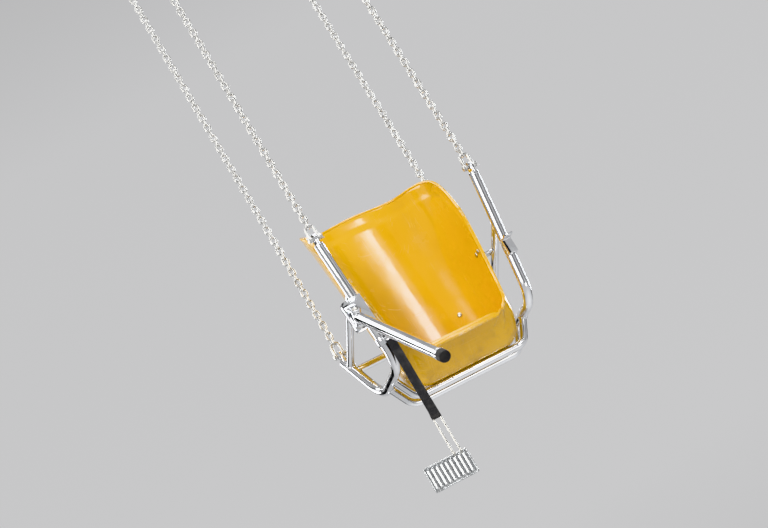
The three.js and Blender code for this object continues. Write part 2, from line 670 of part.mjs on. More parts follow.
const capStart = along(LAP_BAR.length + GAP, openWay);
const capEnd = along(LAP_BAR.length + LAP_BAR.cap, openWay);
add("lap_bar_cap", rod(capStart, capEnd, LAP_BAR.capRadius, 16), "rubber", seat);

// The turn from upright to the lean of a front post
function postTurn(sx) {
  const way = frontPost(sx, FRONT_EYE_RISE).sub(frontPost(sx, 0)).normalize();
  return new THREE.Quaternion().setFromUnitVectors(v(0, 0, 1), way);
}

// Takes a piece drawn round an upright post at the origin to a front post, at a height of it
function onPost(geometry, sx, z) {
  const place = frontPost(sx, z);
  return geometry.applyQuaternion(postTurn(sx)).translate(place.x, place.y, place.z);
}

// The space behind a plane just ahead of a front post's middle, where brackets on the post end
function behindPost(sx, z) {
  const reach = CHAIN_SPAN_X / 2;
  return onPost(box(v(-reach, -POST_RADIUS / 4, -reach), v(reach, reach, reach)), sx, z);
}

// The hinge bracket: a strip on the post and two round ears square to the pin
const ears = [-1, 1].map((way) => {
  const from = along(way * earInner);
  const to = along(way * earOuter);
  const disc = rod(from, to, HINGE.earRadius, 16);
  const shank = box(v(-HINGE.earRadius, 0, -HINGE.ear / 2), v(HINGE.earRadius, HINGE.shank, HINGE.ear / 2));
  shank.rotateX(HINGE_LEAN);
  const middle = from.clone().add(to).multiplyScalar(0.5);
  return join(disc, shank.translate(middle.x, middle.y, middle.z));
});
const strip = onPost(box(
  v(-LAP_BAR.outboard - HINGE.earRadius, -POST_RADIUS - HINGE.strip, -HINGE.stripBelow),
  v(POST_RADIUS, 0, HINGE.stripAbove),
), -1, hinge.z);
const bracketBore = rod(along(-2 * earOuter), along(2 * earOuter), HINGE.pin + GAP, 14);
const hingeBracket = cut(join(strip, ...ears), sideClearances[0], behindPost(-1, hinge.z), bracketBore);
add("bar_hinge_bracket", hingeBracket, "chrome", seat);
const hingePinHead = { radius: HINGE.pinHead, thick: HINGE.pinHeadThick };
add("bar_hinge_pin", headedPin(pinAxis, hinge, HINGE.pin, earOuter + GAP, hingePinHead), "pin", seat);

// The catch on the right post, behind and above the bar's place when it is closed
const catchPost = frontPost(1, hinge.z);
const catchX = catchPost.x;
const catchFaceY = hinge.y + LAP_BAR.radius + CATCH.clear;
const catchLidZ = hinge.z + LAP_BAR.radius + CATCH.clear;
const catchTop = v(catchX + CATCH.half, catchPost.y, catchLidZ + CATCH.lid);
const catchBody = join(
  box(v(catchX - CATCH.half, catchFaceY, hinge.z - CATCH.below), catchTop),
  box(v(catchX - CATCH.half, hinge.y - CATCH.lidForward, catchLidZ), catchTop),
);
add("bar_catch", cut(catchBody, sideClearances[1], behindPost(1, hinge.z)), "chrome", seat);

// The latch strap hangs from a clamp low on the left front post, and ends in a hook and its plate
const clampHalf = STRAP.clamp / 2;
const clampZ = STRAP.top + clampHalf;
const clampRing = rod(v(0, 0, -clampHalf), v(0, 0, clampHalf), POST_RADIUS + STRAP.clampWall, 16);
const clampTab = box(
  v(STRAP.aside - STRAP.width / 2, -POST_RADIUS - STRAP.standOff - STRAP.tabThick, -clampHalf),
  v(STRAP.aside + STRAP.width / 2, 0, clampHalf),
);
const clampBore = rod(v(0, 0, -STRAP.clamp), v(0, 0, STRAP.clamp), POST_RADIUS + GAP, 16);
const clamp = onPost(cut(join(clampRing, clampTab), clampBore), -1, clampZ);
add("strap_clamp", cut(clamp, sideClearances[0]), "chrome", seat);

// The strap's upper end lies under the lowest corner of the clamp's tab
const tabFoot = v(STRAP.aside, -POST_RADIUS - STRAP.standOff, -clampHalf).applyQuaternion(postTurn(-1));
const tabSlant = v(-STRAP.width / 2, -STRAP.tabThick, 0).applyQuaternion(postTurn(-1)).z;
const { x: strapX, y: strapY, z: tabFootZ } = tabFoot.add(frontPost(-1, clampZ));
const strapTop = tabFootZ + tabSlant - GAP;
const strapBottom = strapTop - STRAP.length;
add("latch_strap", box(
  v(strapX - STRAP.width / 2, strapY - STRAP.thick / 2, strapBottom),
  v(strapX + STRAP.width / 2, strapY + STRAP.thick / 2, strapTop),
), "webbing", seat);

const hookTop = strapBottom - GAP - STRAP.wire;
const hookBottom = hookTop - STRAP.hook;
const hookHalf = STRAP.width / 2 - STRAP.wire;
const hookLine = bentLine([
  v(strapX + hookHalf, strapY, hookBottom),
  v(strapX + hookHalf, strapY, hookTop),
  v(strapX - hookHalf, strapY, hookTop),
  v(strapX - hookHalf, strapY, hookBottom),
], [STRAP.hookBend, STRAP.hookBend], 45);
add("strap_hook", tube(hookLine, STRAP.wire, 8), "pin", seat);

const plateTop = hookBottom - GAP;
const plateMiddleX = strapX - STRAP.plateAside;
add("strap_plate", box(
  v(plateMiddleX - STRAP.plateX / 2, strapY - STRAP.plateThick / 2, plateTop - STRAP.plateZ),
  v(plateMiddleX + STRAP.plateX / 2, strapY + STRAP.plateThick / 2, plateTop),
), "plate", seat);

export default part;
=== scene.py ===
"""Looks of the swing ride chair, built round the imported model. Metres, in the part's own frame."""

import json
import math
import random
from functools import cached_property, partialmethod
from types import SimpleNamespace

import bmesh
import bpy
import numpy as np
from mathutils import Matrix, Vector
from mathutils.bvhtree import BVHTree


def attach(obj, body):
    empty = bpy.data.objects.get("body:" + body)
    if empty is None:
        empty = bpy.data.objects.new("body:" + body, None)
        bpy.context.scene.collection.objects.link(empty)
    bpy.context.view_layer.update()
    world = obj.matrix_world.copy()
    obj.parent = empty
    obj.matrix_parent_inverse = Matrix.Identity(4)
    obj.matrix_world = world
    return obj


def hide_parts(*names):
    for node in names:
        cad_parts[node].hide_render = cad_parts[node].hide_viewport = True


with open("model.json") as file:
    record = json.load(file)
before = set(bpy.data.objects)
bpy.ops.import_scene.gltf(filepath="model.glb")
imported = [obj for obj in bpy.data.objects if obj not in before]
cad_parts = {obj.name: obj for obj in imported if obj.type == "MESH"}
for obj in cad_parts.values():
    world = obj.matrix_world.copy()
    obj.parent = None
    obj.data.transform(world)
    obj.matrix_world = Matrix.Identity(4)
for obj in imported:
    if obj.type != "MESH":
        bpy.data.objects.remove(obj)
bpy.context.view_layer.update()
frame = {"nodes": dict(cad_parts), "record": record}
random.seed(7)

# Sizes, as in the part's source

SEAT = Vector((0.0, 0.012, -2.8))  # middle of the seat shell's underside
GAP = 0.0003  # between two solids
ROLL_PIN_Z, PITCH_PIN_Z = -0.082, -0.132
FLANGE_BOTTOM, CHEEK_FACES, CHEEK_HALF = -0.016, (0.044, 0.058), 0.052
YOKE_FACES, YOKE_HALF, YOKE_WELD_Z = (0.034, 0.046), 0.024, -0.1888
BEAM_TOP, BEAM_BOTTOM, LUG_DROP = -0.2035, -0.2423, 0.032
SPAN_X, SPAN_Y = 0.56, 0.40  # between the chains
FRONT_Y, REAR_Y = -SPAN_Y / 2, SPAN_Y / 2
FRONT_EYE, REAR_EYE, POST_BELOW_EYE = 0.532, 0.272, 0.024
LUG_HOLE, LUG_WIDTH, LUG_THICK, EYE_SHANK = 0.007, 0.034, 0.010, 0.034
SHACKLE_LENGTH, SHACKLE_HALF, SHACKLE_ROD, SHACKLE_PIN = 0.046, 0.014, 0.005, 0.0055
POST_R, RAIL_R, CROSS_R = 0.016, 0.013, 0.0125
BOTTOM_RAIL_X, BOTTOM_RAIL, FRONT_BEND, REAR_BEND = 0.240, 0.072, 0.070, 0.090
FRONT_CORNER_Y, REAR_CORNER_Y = -0.150, 0.130
RAIL_FRONT, RAIL_REAR_BELOW, BACK_RAIL = 0.342, 0.052, 0.200
FLAT_X, CROSS_Y, CROSS_BEND = 0.196, (-0.020, 0.056), 0.045
WING_Y, BUFFER_X = -0.040, 0.120
WIRE, LINK_HALF_WIDTH, PITCH = 0.0035, 0.0125, 0.021  # the chain; WIRE is half its thickness

# Small mesh tools. A part is (points, faces, wear), with a wear from 0 to 1 for each point.


def turns(count):
    return np.linspace(0, 2 * math.pi, count, endpoint=False)


def rings(rows, columns, closed=False):
    """Faces between rows of points, where each row closes on itself."""
    faces = []
    for row in range(rows if closed else rows - 1):
        low, high = row * columns, (row + 1) % rows * columns
        faces += [(low + k, low + (k + 1) % columns, high + (k + 1) % columns, high + k) for k in range(columns)]
    return faces


def capped(rows, columns):
    """The same, with a face over each end."""
    last = (rows - 1) * columns
    return [tuple(range(columns - 1, -1, -1)), tuple(range(last, last + columns))] + rings(rows, columns)


def join(*parts):
    points, faces, base = [], [], 0
    for p, f, _ in parts:
        points.append(np.asarray(p, float))
        faces += [tuple(i + base for i in face) for face in f]
        base += len(p)
    return np.vstack(points), faces, np.concatenate([w for _, _, w in parts])


def place(part, matrix):
    p, f, w = part
    m = np.array(matrix)
    return np.asarray(p, float) @ m[:3, :3].T + m[:3, 3], f, w


def square_to(way):
    side = np.array([1.0, 0, 0]) if abs(way[0]) < 0.9 else np.array([0, 1.0, 0])
    across = np.cross(way, side)
    return across / np.linalg.norm(across)


def axes_about(axis):
    """A direction and two more that are square to it."""
    a = Vector(axis).normalized()
    u = a.orthogonal().normalized()
    return a, u, a.cross(u)


def normals_along(p, closed):
    """Two normals at each point of a line, turned as little as possible."""
    ahead = np.roll(p, -1, 0) - p
    behind = p - np.roll(p, 1, 0)
    if not closed:
        ahead[-1] = behind[-1]
        behind[0] = ahead[0]
    t = ahead / np.linalg.norm(ahead, axis=1)[:, None] + behind / np.linalg.norm(behind, axis=1)[:, None]
    t /= np.linalg.norm(t, axis=1)[:, None]
    u = [square_to(t[0])]
    for way in t[1:]:
        n = u[-1] - way * np.dot(u[-1], way)
        u.append(n / np.linalg.norm(n))
    return np.array(u), np.cross(t, u)


def sweep(points, radius, sides=16, closed=False, wear=0.0):
    """A round rod along a line. radius and wear may be one number, or one for each point."""
    p = np.asarray(points, float)
    u, v = normals_along(p, closed)
    n, angles = len(p), turns(sides)
    r, w = (np.broadcast_to(np.asarray(value, float), (n,)) for value in (radius, wear))
    ring = u[:, None, :] * np.cos(angles)[None, :, None] + v[:, None, :] * np.sin(angles)[None, :, None]
    faces = rings(n, sides) if closed else capped(n, sides)
    if closed:
        last, shift = (n - 1) * sides, int(np.argmax(ring[0] @ ring[-1][0]))
        faces += [(last + k, last + (k + 1) % sides, (k + 1 + shift) % sides, (k + shift) % sides)
                  for k in range(sides)]
    return (p[:, None, :] + ring * r[:, None, None]).reshape(-1, 3), faces, np.repeat(w, sides)


def lathe(profile, centre, axis, sides=24, wear=0.0):
    """A turned form: profile is a list of (distance along the axis, radius)."""
    a = np.asarray(axis, float)
    a = a / np.linalg.norm(a)
    u = square_to(a)
    v = np.cross(a, u)
    points, rows = [], []
    for along, radius in profile:
        middle = np.asarray(centre, float) + a * along
        ring = [middle]
        if radius > 1e-7:
            ring = [middle + radius * (u * math.cos(t) + v * math.sin(t)) for t in turns(sides)]
        rows.append([len(points) + k for k in range(len(ring))])
        points += ring
    faces = []
    for low, high in zip(rows, rows[1:]):
        for k in range(sides):
            corners = (row[i % len(row)] for row, i in ((low, k), (low, k + 1), (high, k + 1), (high, k)))
            faces.append(tuple(dict.fromkeys(corners)))  # a row of one point counts once
    return np.array(points), faces, np.full(len(points), float(wear))


def rounded(distance, radius, soft, steps=4):
    """The profile of a turned disc with soft edges, from 0 to distance along its axis."""
    low = [(soft - soft * math.cos(a), radius - soft + soft * math.sin(a)) for a in np.linspace(0, math.pi / 2, steps)]
    return [(0, 0)] + low + [(distance - x, r) for x, r in reversed(low)] + [(distance, 0)]


def hexagon(height, across, soft, centre, axis, turn=0.0):
    """A hexagon head or nut with its corners turned off."""
    (a, u, v), reach = axes_about(axis), across / math.sqrt(3)
    points = [tuple(Vector(centre) + a * along + (u * math.cos(t) + v * math.sin(t)) * r)
              for along, r in ((0, reach), (height - soft, reach), (height, reach * 0.9)) for t in turns(6) + turn]
    return np.array(points), capped(3, 6), np.full(18, 0.4)


def bolt_head(centre, axis, across, height=0.0055, washer=0.0016):
    axis = Vector(axis).normalized()
    return join(lathe(rounded(washer, across * 0.85, 0.0004, 3), centre, axis, 24, 0.2),
                hexagon(height, across, 0.001, Vector(centre) + axis * washer, axis, 0.3))


def dome_head(centre, axis, radius=0.0085, height=0.0042):
    arc = np.linspace(0.05, math.pi / 2 - 0.05, 7)
    profile = [(-0.001, radius)] + [(height * math.sin(a), radius * math.cos(a)) for a in arc] + [(height, 0)]
    return lathe(profile, centre, axis, 24, 0.35)


def cotter(centre, radius=0.001, half=0.0085):
    """A split pin through the end of a bolt along X."""
    middle, a, c = Vector(centre), Vector((1, 0, 0)), Vector((0, 0.4, 1)).normalized()
    loop = [middle - c * half + (a * math.sin(t) - c * math.cos(t) * 0.8) * 0.0032 for t in np.linspace(-2.3, 2.3, 12)]
    leg = [middle + c * x for x in np.linspace(-half, half * 0.8, 5)]
    rods = [(loop, radius), (leg, radius)]
    for side in (-1, 1):
        tail = [(0.7, 0), (0.95, side * 0.0015), (0.8, side * 0.006)]
        rods.append(([middle + c * half * share + a * aside for share, aside in tail], radius * 0.7))
    return join(*(sweep(line, thick, 8, wear=0.3) for line, thick in rods))


def weld(points, radius=0.0028, closed=True):
    """A weld bead along a line, with the ripples of its runs."""
    p = np.asarray(points, float)
    s = np.concatenate([[0], np.cumsum(np.linalg.norm(np.diff(p, axis=0), axis=1))])
    ripples = 0.16 * np.sin(2 * math.pi * s / 0.0035) + 0.06 * np.sin(s * 977)
    return sweep(p, radius * (1 + ripples), 8, closed=closed, wear=0.15)


def seam(start, end, count, radius):
    """A straight weld."""
    return weld([Vector(start).lerp(Vector(end), t) for t in np.linspace(0, 1, count)], radius, closed=False)


def saddle_weld(start, way, radius, line_point, line_way, line_radius, bead=0.0028):
    """A weld where a tube's outside meets the outside of a straight tube that it runs into."""
    (d, u, v), e = axes_about(way), Vector(line_way).normalized()
    points = []
    for t in turns(96):
        p = Vector(start) + (u * math.cos(t) + v * math.sin(t)) * radius
        rel = p - Vector(line_point)
        across, run = rel - e * rel.dot(e), d - e * d.dot(e)
        a, b, c = run.dot(run), 2 * across.dot(run), across.dot(across) - line_radius ** 2
        root = b * b - 4 * a * c
        if root >= 0:
            points.append(p + d * ((-b - math.sqrt(root)) / (2 * a)))
    return weld(points, bead)


def bent_line(corners, radii, step):
    """Straight runs with an arc at each corner, as the part's source bends its tubes."""
    points = [Vector(corners[0])]
    for before, corner, after, radius in zip(corners, corners[1:], corners[2:], radii):
        corner = Vector(corner)
        back, ahead = (Vector(before) - corner).normalized(), (Vector(after) - corner).normalized()
        turn = math.pi - back.angle(ahead)
        centre = corner + (back + ahead).normalized() * (radius / math.cos(turn / 2))
        start = corner + back * (radius * math.tan(turn / 2)) - centre
        axis = ahead.cross(back).normalized()
        steps = max(4, round(math.degrees(turn) / step))
        points += [Matrix.Rotation(turn * k / steps, 3, axis) @ start + centre for k in range(steps + 1)]
    return points + [Vector(corners[-1])]


def spaced(points, gap):
    """The same line with points no further apart than gap."""
    out = [Vector(points[0])]
    for a, b in zip(points, points[1:]):
        count = max(1, math.ceil((Vector(b) - Vector(a)).length / gap))
        out += [Vector(a).lerp(Vector(b), k / count) for k in range(1, count + 1)]
    return out


def lug(centre, soft=0.0012, count=72):
    """A chain eye: a plate square to X, round about its hole, with a straight shank down."""
    half, outer, inner = LUG_WIDTH / 2, LUG_THICK / 2, LUG_THICK / 2 - soft
    rims = [(LUG_HOLE, -inner), (LUG_HOLE + soft, -outer), (-soft, -outer), (0, -inner)]
    rims += [(reach, -height) for reach, height in reversed(rims)]
    points = []
    for reach, height in rims:  # a reach over the soft edge is about the hole, and the others are from the outline
        for t in turns(count):
            x, y = math.cos(t), math.sin(t)
            edge = half if y >= 0 else min(half / abs(x) if abs(x) > 1e-9 else 1e9, EYE_SHANK / abs(y))
            r = reach if reach > soft else edge + reach
            points.append(tuple(Vector(centre) + Vector((height, x * r, y * r))))
    return np.array(points), rings(8, count, closed=True), np.repeat([0.7, *[0.3] * 6, 0.7], count)


def points_and_faces(bm):
    """What a bmesh holds. It is freed."""
    bm.verts.index_update()
    points = np.array([tuple(vert.co) for vert in bm.verts])
    faces = [tuple(vert.index for vert in face.verts) for face in bm.faces]
    bm.free()
    return points, faces


def soften(bm, edges, radius, segments=2):
    bmesh.ops.bevel(bm, geom=edges, offset=radius, segments=segments, profile=0.5, affect="EDGES", clamp_overlap=True)


def block(low, high, soft=0.0012):
    """A box with its edges taken off."""
    bm = bmesh.new()
    bmesh.ops.create_cube(bm, size=1)
    for vert in bm.verts:
        vert.co = Vector([low[i] + (vert.co[i] + 0.5) * (high[i] - low[i]) for i in range(3)])
    soften(bm, bm.edges[:], soft)
    points, faces = points_and_faces(bm)
    return points, faces, np.full(len(points), 0.5)


def dressed_node(node, soft, merge=1e-6, corner_radius=None):
    """A CAD node's own form with its flat faces cleaned and its edges rounded.

    Corners closer together than merge become one, so that a sliver doesn't stop the rounding.
    corner_radius takes an edge's run and middle and gives the radius of the plate's corner there, or 0.
    """
    bm = bmesh.new()
    bm.from_mesh(frame["nodes"][node].data)
    bmesh.ops.remove_doubles(bm, verts=bm.verts, dist=1e-6)
    bmesh.ops.dissolve_limit(bm, angle_limit=math.radians(1.0), verts=bm.verts, edges=bm.edges)
    bmesh.ops.remove_doubles(bm, verts=bm.verts, dist=merge)
    if corner_radius:
        ends = [(edge, edge.verts[0].co, edge.verts[1].co) for edge in bm.edges]
        radii = [(edge, corner_radius(b - a, (a + b) / 2)) for edge, a, b in ends]
        for edge, radius in radii:
            if radius:
                soften(bm, [edge], radius, 6)
    soften(bm, [e for e in bm.edges if len(e.link_faces) == 2 and e.calc_face_angle(0) > math.radians(40)], soft)
    shortest = [min(edge.calc_length() for edge in vert.link_edges) for vert in bm.verts]
    points, faces = points_and_faces(bm)
    return points, faces, np.array([0.9 if length < soft * 1.4 else 0.2 for length in shortest])


def placed(name, data, spot=None, turn=None):
    """An object in the scene, at the origin unless a spot and a turn are given."""
    obj = bpy.data.objects.new(name, data)
    if spot:
        obj.location, obj.rotation_mode, obj.rotation_quaternion = spot, "QUATERNION", turn
    bpy.context.scene.collection.objects.link(obj)
    return obj


def mesh_object(name, points, faces):
    mesh = bpy.data.meshes.new(name)
    mesh.from_pydata([tuple(p) for p in points], [], faces)
    return placed(name, mesh)


SLOT_OF = {subpart["node"]: subpart["material_slot"] for subpart in frame["record"]["subparts"]}
BODY_OF = {node: body for body, nodes in frame["record"]["behaviour"]["bodies"].items() for node in nodes}
BROAD = 0.006  # a face this wide on average isn't worn like an edge
BROAD_WEAR = 0.2


def make(name, part, *nodes, like=None, smooth_angle=40.0):
    """A mesh object of one part, that stands for CAD nodes and has the body and material of the first.

    A part that stands for none is like a node that it names.
    """
    points, faces, wear = part
    obj = mesh_object(name, points, faces)
    obj.data.validate()
    bm = bmesh.new()
    bm.from_mesh(obj.data)
    bmesh.ops.recalc_face_normals(bm, faces=bm.faces)
    worn = bm.loops.layers.float.new("wear")
    for face in bm.faces:
        face.smooth = True
        most = BROAD_WEAR if 2 * face.calc_area() > BROAD * face.calc_perimeter() else 1.0
        for loop in face.loops:
            loop[worn] = min(most, wear[loop.vert.index])
    for edge in bm.edges:
        edge.smooth = len(edge.link_faces) == 2 and edge.calc_face_angle(0) < math.radians(smooth_angle)
    bm.to_mesh(obj.data)
    bm.free()
    body, slot = BODY_OF[like or nodes[0]], SLOT_OF[like or nodes[0]]
    obj.data.materials.append(MATERIALS[slot])
    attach(obj, body)
    if nodes:
        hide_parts(*nodes)
    return obj


# Materials, all from nodes, in metres of the object's own space


class Nodes:
    """A short way to write the node tree of a material, over a first colour, or of a world."""

    def __init__(self, name, colour=(0, 0, 0), kind=bpy.data.materials):
        self.owner = kind.new(name)
        self.owner.use_nodes = True
        self.tree = self.owner.node_tree
        self.colour = (*colour, 1)

    @cached_property
    def at(self):
        return self.node("TexCoord").outputs["Object"]

    def put(self, socket, value):
        if isinstance(value, bpy.types.NodeSocket):
            self.tree.links.new(value, socket)
        else:
            socket.default_value = value

    def node(self, kind, inputs={}, **settings):
        made = self.tree.nodes.new("ShaderNode" + kind)
        for key, value in settings.items():
            setattr(made, key, value)
        for key, value in inputs.items():
            self.put(made.inputs[key], value)
        return made

    def scaled(self, x, y, z, turn=(0, 0, 0)):
        return self.node("Mapping", {"Scale": (x, y, z), "Rotation": turn, "Vector": self.at}).outputs["Vector"]

    def noise(self, scale, detail=4.0, rough=0.55, warp=0.0, at=None):
        inputs = {"Scale": scale, "Detail": detail, "Roughness": rough, "Distortion": warp, "Vector": at or self.at}
        return self.node("TexNoise", inputs).outputs["Fac"]

    def span(self, value, low, high, to_low=0.0, to_high=1.0):
        inputs = {"Value": value, "From Min": low, "From Max": high, "To Min": to_low, "To Max": to_high}
        return self.node("MapRange", inputs, clamp=True).outputs["Result"]

    def patches(self, low, high, *noise):
        """Noise, from 0 where it is under low to 1 where it is over high."""
        return self.span(self.noise(*noise), low, high)

    def spangle(self, scale, low, high):
        """Crystals, each with its own number."""
        cells = self.node("TexVoronoi", {"Scale": scale, "Vector": self.at}).outputs["Color"]
        return self.span(self.node("RGBToBW", {0: cells}).outputs[0], low, high)

    def math(self, operation, a, b):
        made = self.node("Math", {0: a, 1: b}, operation=operation, use_clamp=operation != "SUBTRACT")
        return made.outputs[0]

    times, plus = partialmethod(math, "MULTIPLY"), partialmethod(math, "ADD")
    less, most = partialmethod(math, "SUBTRACT"), partialmethod(math, "MAXIMUM")

    def over(self, share, colour, strength=None):
        """Lays a colour over the ones before."""
        share = self.times(share, strength) if strength else share
        self.colour = self.node("Mix", {0: share, 6: self.colour, 7: (*colour, 1)}, data_type="RGBA").outputs[2]

    def wear(self):
        return self.node("Attribute", attribute_name="wear").outputs["Fac"]

    def bump(self, height, strength, distance, **onto):
        inputs = {"Strength": strength, "Distance": distance, "Height": height, **onto}
        return self.node("Bump", inputs).outputs["Normal"]

    def finish(self, **sockets):
        for name, value in {"base_color": self.colour, **sockets}.items():
            socket = name.replace("_", " ").title().replace("Ior", "IOR")
            self.put(self.tree.nodes["Principled BSDF"].inputs[socket], value)
        return self.owner


def shell_material():
    n = Nodes("yellow_shell", (0.75, 0.435, 0.002))
    n.over(n.patches(0.3, 0.7, 4.0, 3), (0.65, 0.355, 0.0015))
    # dirt and painted shade: the shell is darker towards its bottom, in soft patches, over its underside, its front
    # apron and the low inside of the bucket
    height = n.node("SeparateXYZ", {0: n.at}).outputs["Z"]
    grime_and_shade = n.times(n.span(height, -2.70, -2.79), n.patches(0.48, 0.72, 22, 6, 0.65))
    n.over(grime_and_shade, (0.16, 0.085, 0.02), 0.42)
    # fine scratches from belts and shoes
    upright = n.patches(0.68, 0.71, 1.0, 1, 0.4, 0.0, n.scaled(7, 900, 30, (0.3, 0.2, 0.5)))
    slanted = n.patches(0.69, 0.72, 1.0, 1, 0.4, 0.0, n.scaled(800, 14, 6, (0.1, 0.6, -0.3)))
    scratches = n.times(n.most(upright, slanted), n.patches(0.46, 0.66, 6, 2))
    n.over(scratches, (0.95, 0.72, 0.25), 0.28)
    # the rim is rubbed through its gel coat in places
    rim = n.times(n.wear(), n.patches(0.53, 0.60, 70, 6, 0.7))
    n.over(rim, (0.62, 0.50, 0.30), 0.8)
    rough = n.plus(n.span(n.noise(15, 5, 0.6), 0.35, 0.75, 0.16, 0.34), n.times(scratches, 0.3))
    rough = n.plus(rough, n.times(n.most(grime_and_shade, rim), 0.35))
    coat_rough = n.plus(n.span(n.noise(11, 5, 0.6), 0.4, 0.75, 0.03, 0.16), n.times(scratches, 0.25))
    peel = n.bump(n.noise(260, 2, 0.4), 0.10, 0.0004)
    cut = n.bump(n.less(n.noise(9, 2), n.times(scratches, 0.04)), 0.25, 0.004, Normal=peel)
    return n.finish(roughness=rough, coat_roughness=coat_rough, coat_weight=1.0, ior=1.5, normal=cut)


def tube_material():
    n = Nodes("polished_tube", (0.83, 0.84, 0.86))
    n.over(n.patches(0.35, 0.7, 6, 3), (0.70, 0.705, 0.72))
    specks = n.times(n.patches(0.64, 0.70, 420, 4, 0.7), n.patches(0.50, 0.66, 12, 4))
    n.over(specks, (0.22, 0.12, 0.06), 0.7)
    smears = n.span(n.patches(0.42, 0.72, 18, 6, 0.65, 0.6), 0, 1, 0.07, 0.21)
    lines = n.patches(0.60, 0.72, 1.0, 2, 0.5, 0.0, n.scaled(420, 420, 9))
    rough = n.plus(n.plus(smears, n.times(lines, 0.10)), n.times(specks, 0.4))
    grain = n.noise(1.0, 3, 0.5, 0.0, n.scaled(520, 520, 14))
    height = n.less(n.times(grain, 0.5), n.times(specks, 0.3))
    return n.finish(roughness=rough, metallic=1.0, normal=n.bump(height, 0.10, 0.0005))


def chain_material():
    n = Nodes("zinc_chain", (0.60, 0.60, 0.585))
    n.over(n.spangle(160, 0.2, 0.8), (0.74, 0.74, 0.73))
    dull = n.patches(0.40, 0.68, 35, 6, 0.7)
    n.over(dull, (0.34, 0.33, 0.315), 0.40)
    rust = n.times(n.patches(0.61, 0.69, 90, 6, 0.7), n.patches(0.54, 0.68, 7, 3))
    n.over(rust, (0.22, 0.10, 0.045), 0.55)
    bright = n.span(n.wear(), 0.55, 0.95)
    n.over(bright, (0.86, 0.855, 0.84))
    rough = n.less(n.plus(n.span(dull, 0, 1, 0.30, 0.52), n.times(rust, 0.25)), n.times(bright, 0.16))
    bumps = n.bump(n.noise(340, 5, 0.6), 0.35, 0.0004)
    return n.finish(roughness=rough, metallic=n.less(1.0, n.times(rust, 0.7)), normal=bumps)


def paint_material():
    n = Nodes("hanger_paint", (0.150, 0.158, 0.170))
    n.over(n.patches(0.3, 0.7, 7, 4), (0.110, 0.116, 0.126))
    dust = n.patches(0.50, 0.75, 30, 6, 0.7)
    n.over(dust, (0.24, 0.225, 0.20), 0.35)
    edge = n.times(n.span(n.wear(), 0.5, 0.9), n.patches(0.50, 0.56, 120, 6, 0.7))
    chips = n.most(edge, n.patches(0.70, 0.72, 60, 5, 0.75))
    n.over(chips, (0.42, 0.39, 0.36))
    rough = n.plus(n.span(dust, 0, 1, 0.34, 0.55), n.times(chips, 0.1))
    height = n.less(n.times(n.noise(190, 3, 0.5), 0.4), n.times(chips, 0.35))
    return n.finish(roughness=rough, metallic=n.times(chips, 0.9), normal=n.bump(height, 0.30, 0.0006))


def steel_material():
    n = Nodes("machined_steel", (0.62, 0.61, 0.58))
    n.over(n.patches(0.35, 0.7, 50, 4), (0.50, 0.49, 0.46))
    grease = n.times(n.patches(0.55, 0.70, 38, 5, 0.7), 0.6)
    n.over(grease, (0.10, 0.09, 0.075))
    turned = n.noise(1.0, 2, 0.5, 0.0, n.scaled(1500, 1500, 60))
    rough = n.plus(n.span(turned, 0.3, 0.7, 0.22, 0.36), n.times(grease, 0.15))
    return n.finish(roughness=rough, metallic=1.0, normal=n.bump(turned, 0.12, 0.0003))


def webbing_material():
    n = Nodes("black_webbing", (0.012, 0.012, 0.014))
    waves = []
    for way, scale, at in (("X", 130, n.scaled(1, 1, 1)), ("DIAGONAL", 95, n.scaled(1, 1, 2.2))):
        wave = n.node("TexWave", {"Scale": scale, "Distortion": 0.4, "Vector": at}, bands_direction=way)
        waves.append(wave.outputs["Fac"])
    weave = n.times(*waves)
    fuzz = n.noise(900, 4, 0.7)
    n.over(n.span(weave, 0.1, 0.8), (0.05, 0.05, 0.055))
    n.over(n.patches(0.5, 0.75, 45, 5), (0.09, 0.085, 0.08), 0.5)
    bumps = n.bump(n.plus(weave, n.times(fuzz, 0.25)), 0.8, 0.0007)
    rough = n.span(fuzz, 0.3, 0.7, 0.72, 0.92)
    return n.finish(roughness=rough, sheen_weight=0.4, sheen_roughness=0.5, normal=bumps)


def plate_material():
    n = Nodes("grey_plate", (0.36, 0.375, 0.385))
    n.over(n.spangle(95, 0.1, 0.9), (0.52, 0.535, 0.545))
    soil = n.patches(0.50, 0.72, 40, 6, 0.7)
    n.over(soil, (0.13, 0.12, 0.11), 0.5)
    bright = n.times(n.span(n.wear(), 0.5, 0.9), n.patches(0.42, 0.55, 150, 4))
    n.over(bright, (0.72, 0.73, 0.74))
    rough = n.less(n.span(soil, 0, 1, 0.30, 0.55), n.times(bright, 0.1))
    return n.finish(roughness=rough, metallic=0.95, normal=n.bump(n.noise(300, 4), 0.2, 0.0004))


def rubber_material():
    n = Nodes("black_rubber", (0.018, 0.018, 0.019))
    dust = n.patches(0.48, 0.75, 60, 6, 0.7)
    n.over(dust, (0.10, 0.095, 0.09), 0.5)
    bumps = n.bump(n.noise(700, 4, 0.6), 0.4, 0.0004)
    return n.finish(roughness=n.span(dust, 0, 1, 0.58, 0.85), normal=bumps)


MATERIALS = {
    "yellow_shell": shell_material(), "polished_tube": tube_material(), "zinc_chain": chain_material(),
    "hanger_paint": paint_material(), "machined_steel": steel_material(), "black_webbing": webbing_material(),
    "grey_plate": plate_material(), "black_rubber": rubber_material(),
}
for node, obj in frame["nodes"].items():
    obj.data.materials.clear()
    obj.data.materials.append(MATERIALS[SLOT_OF[node]])


def at_seat(x, y, z):
    return Vector((x, y, z)) + SEAT


# The hanger: the CAD forms with rounded edges, with welds, nuts and two grease nipples

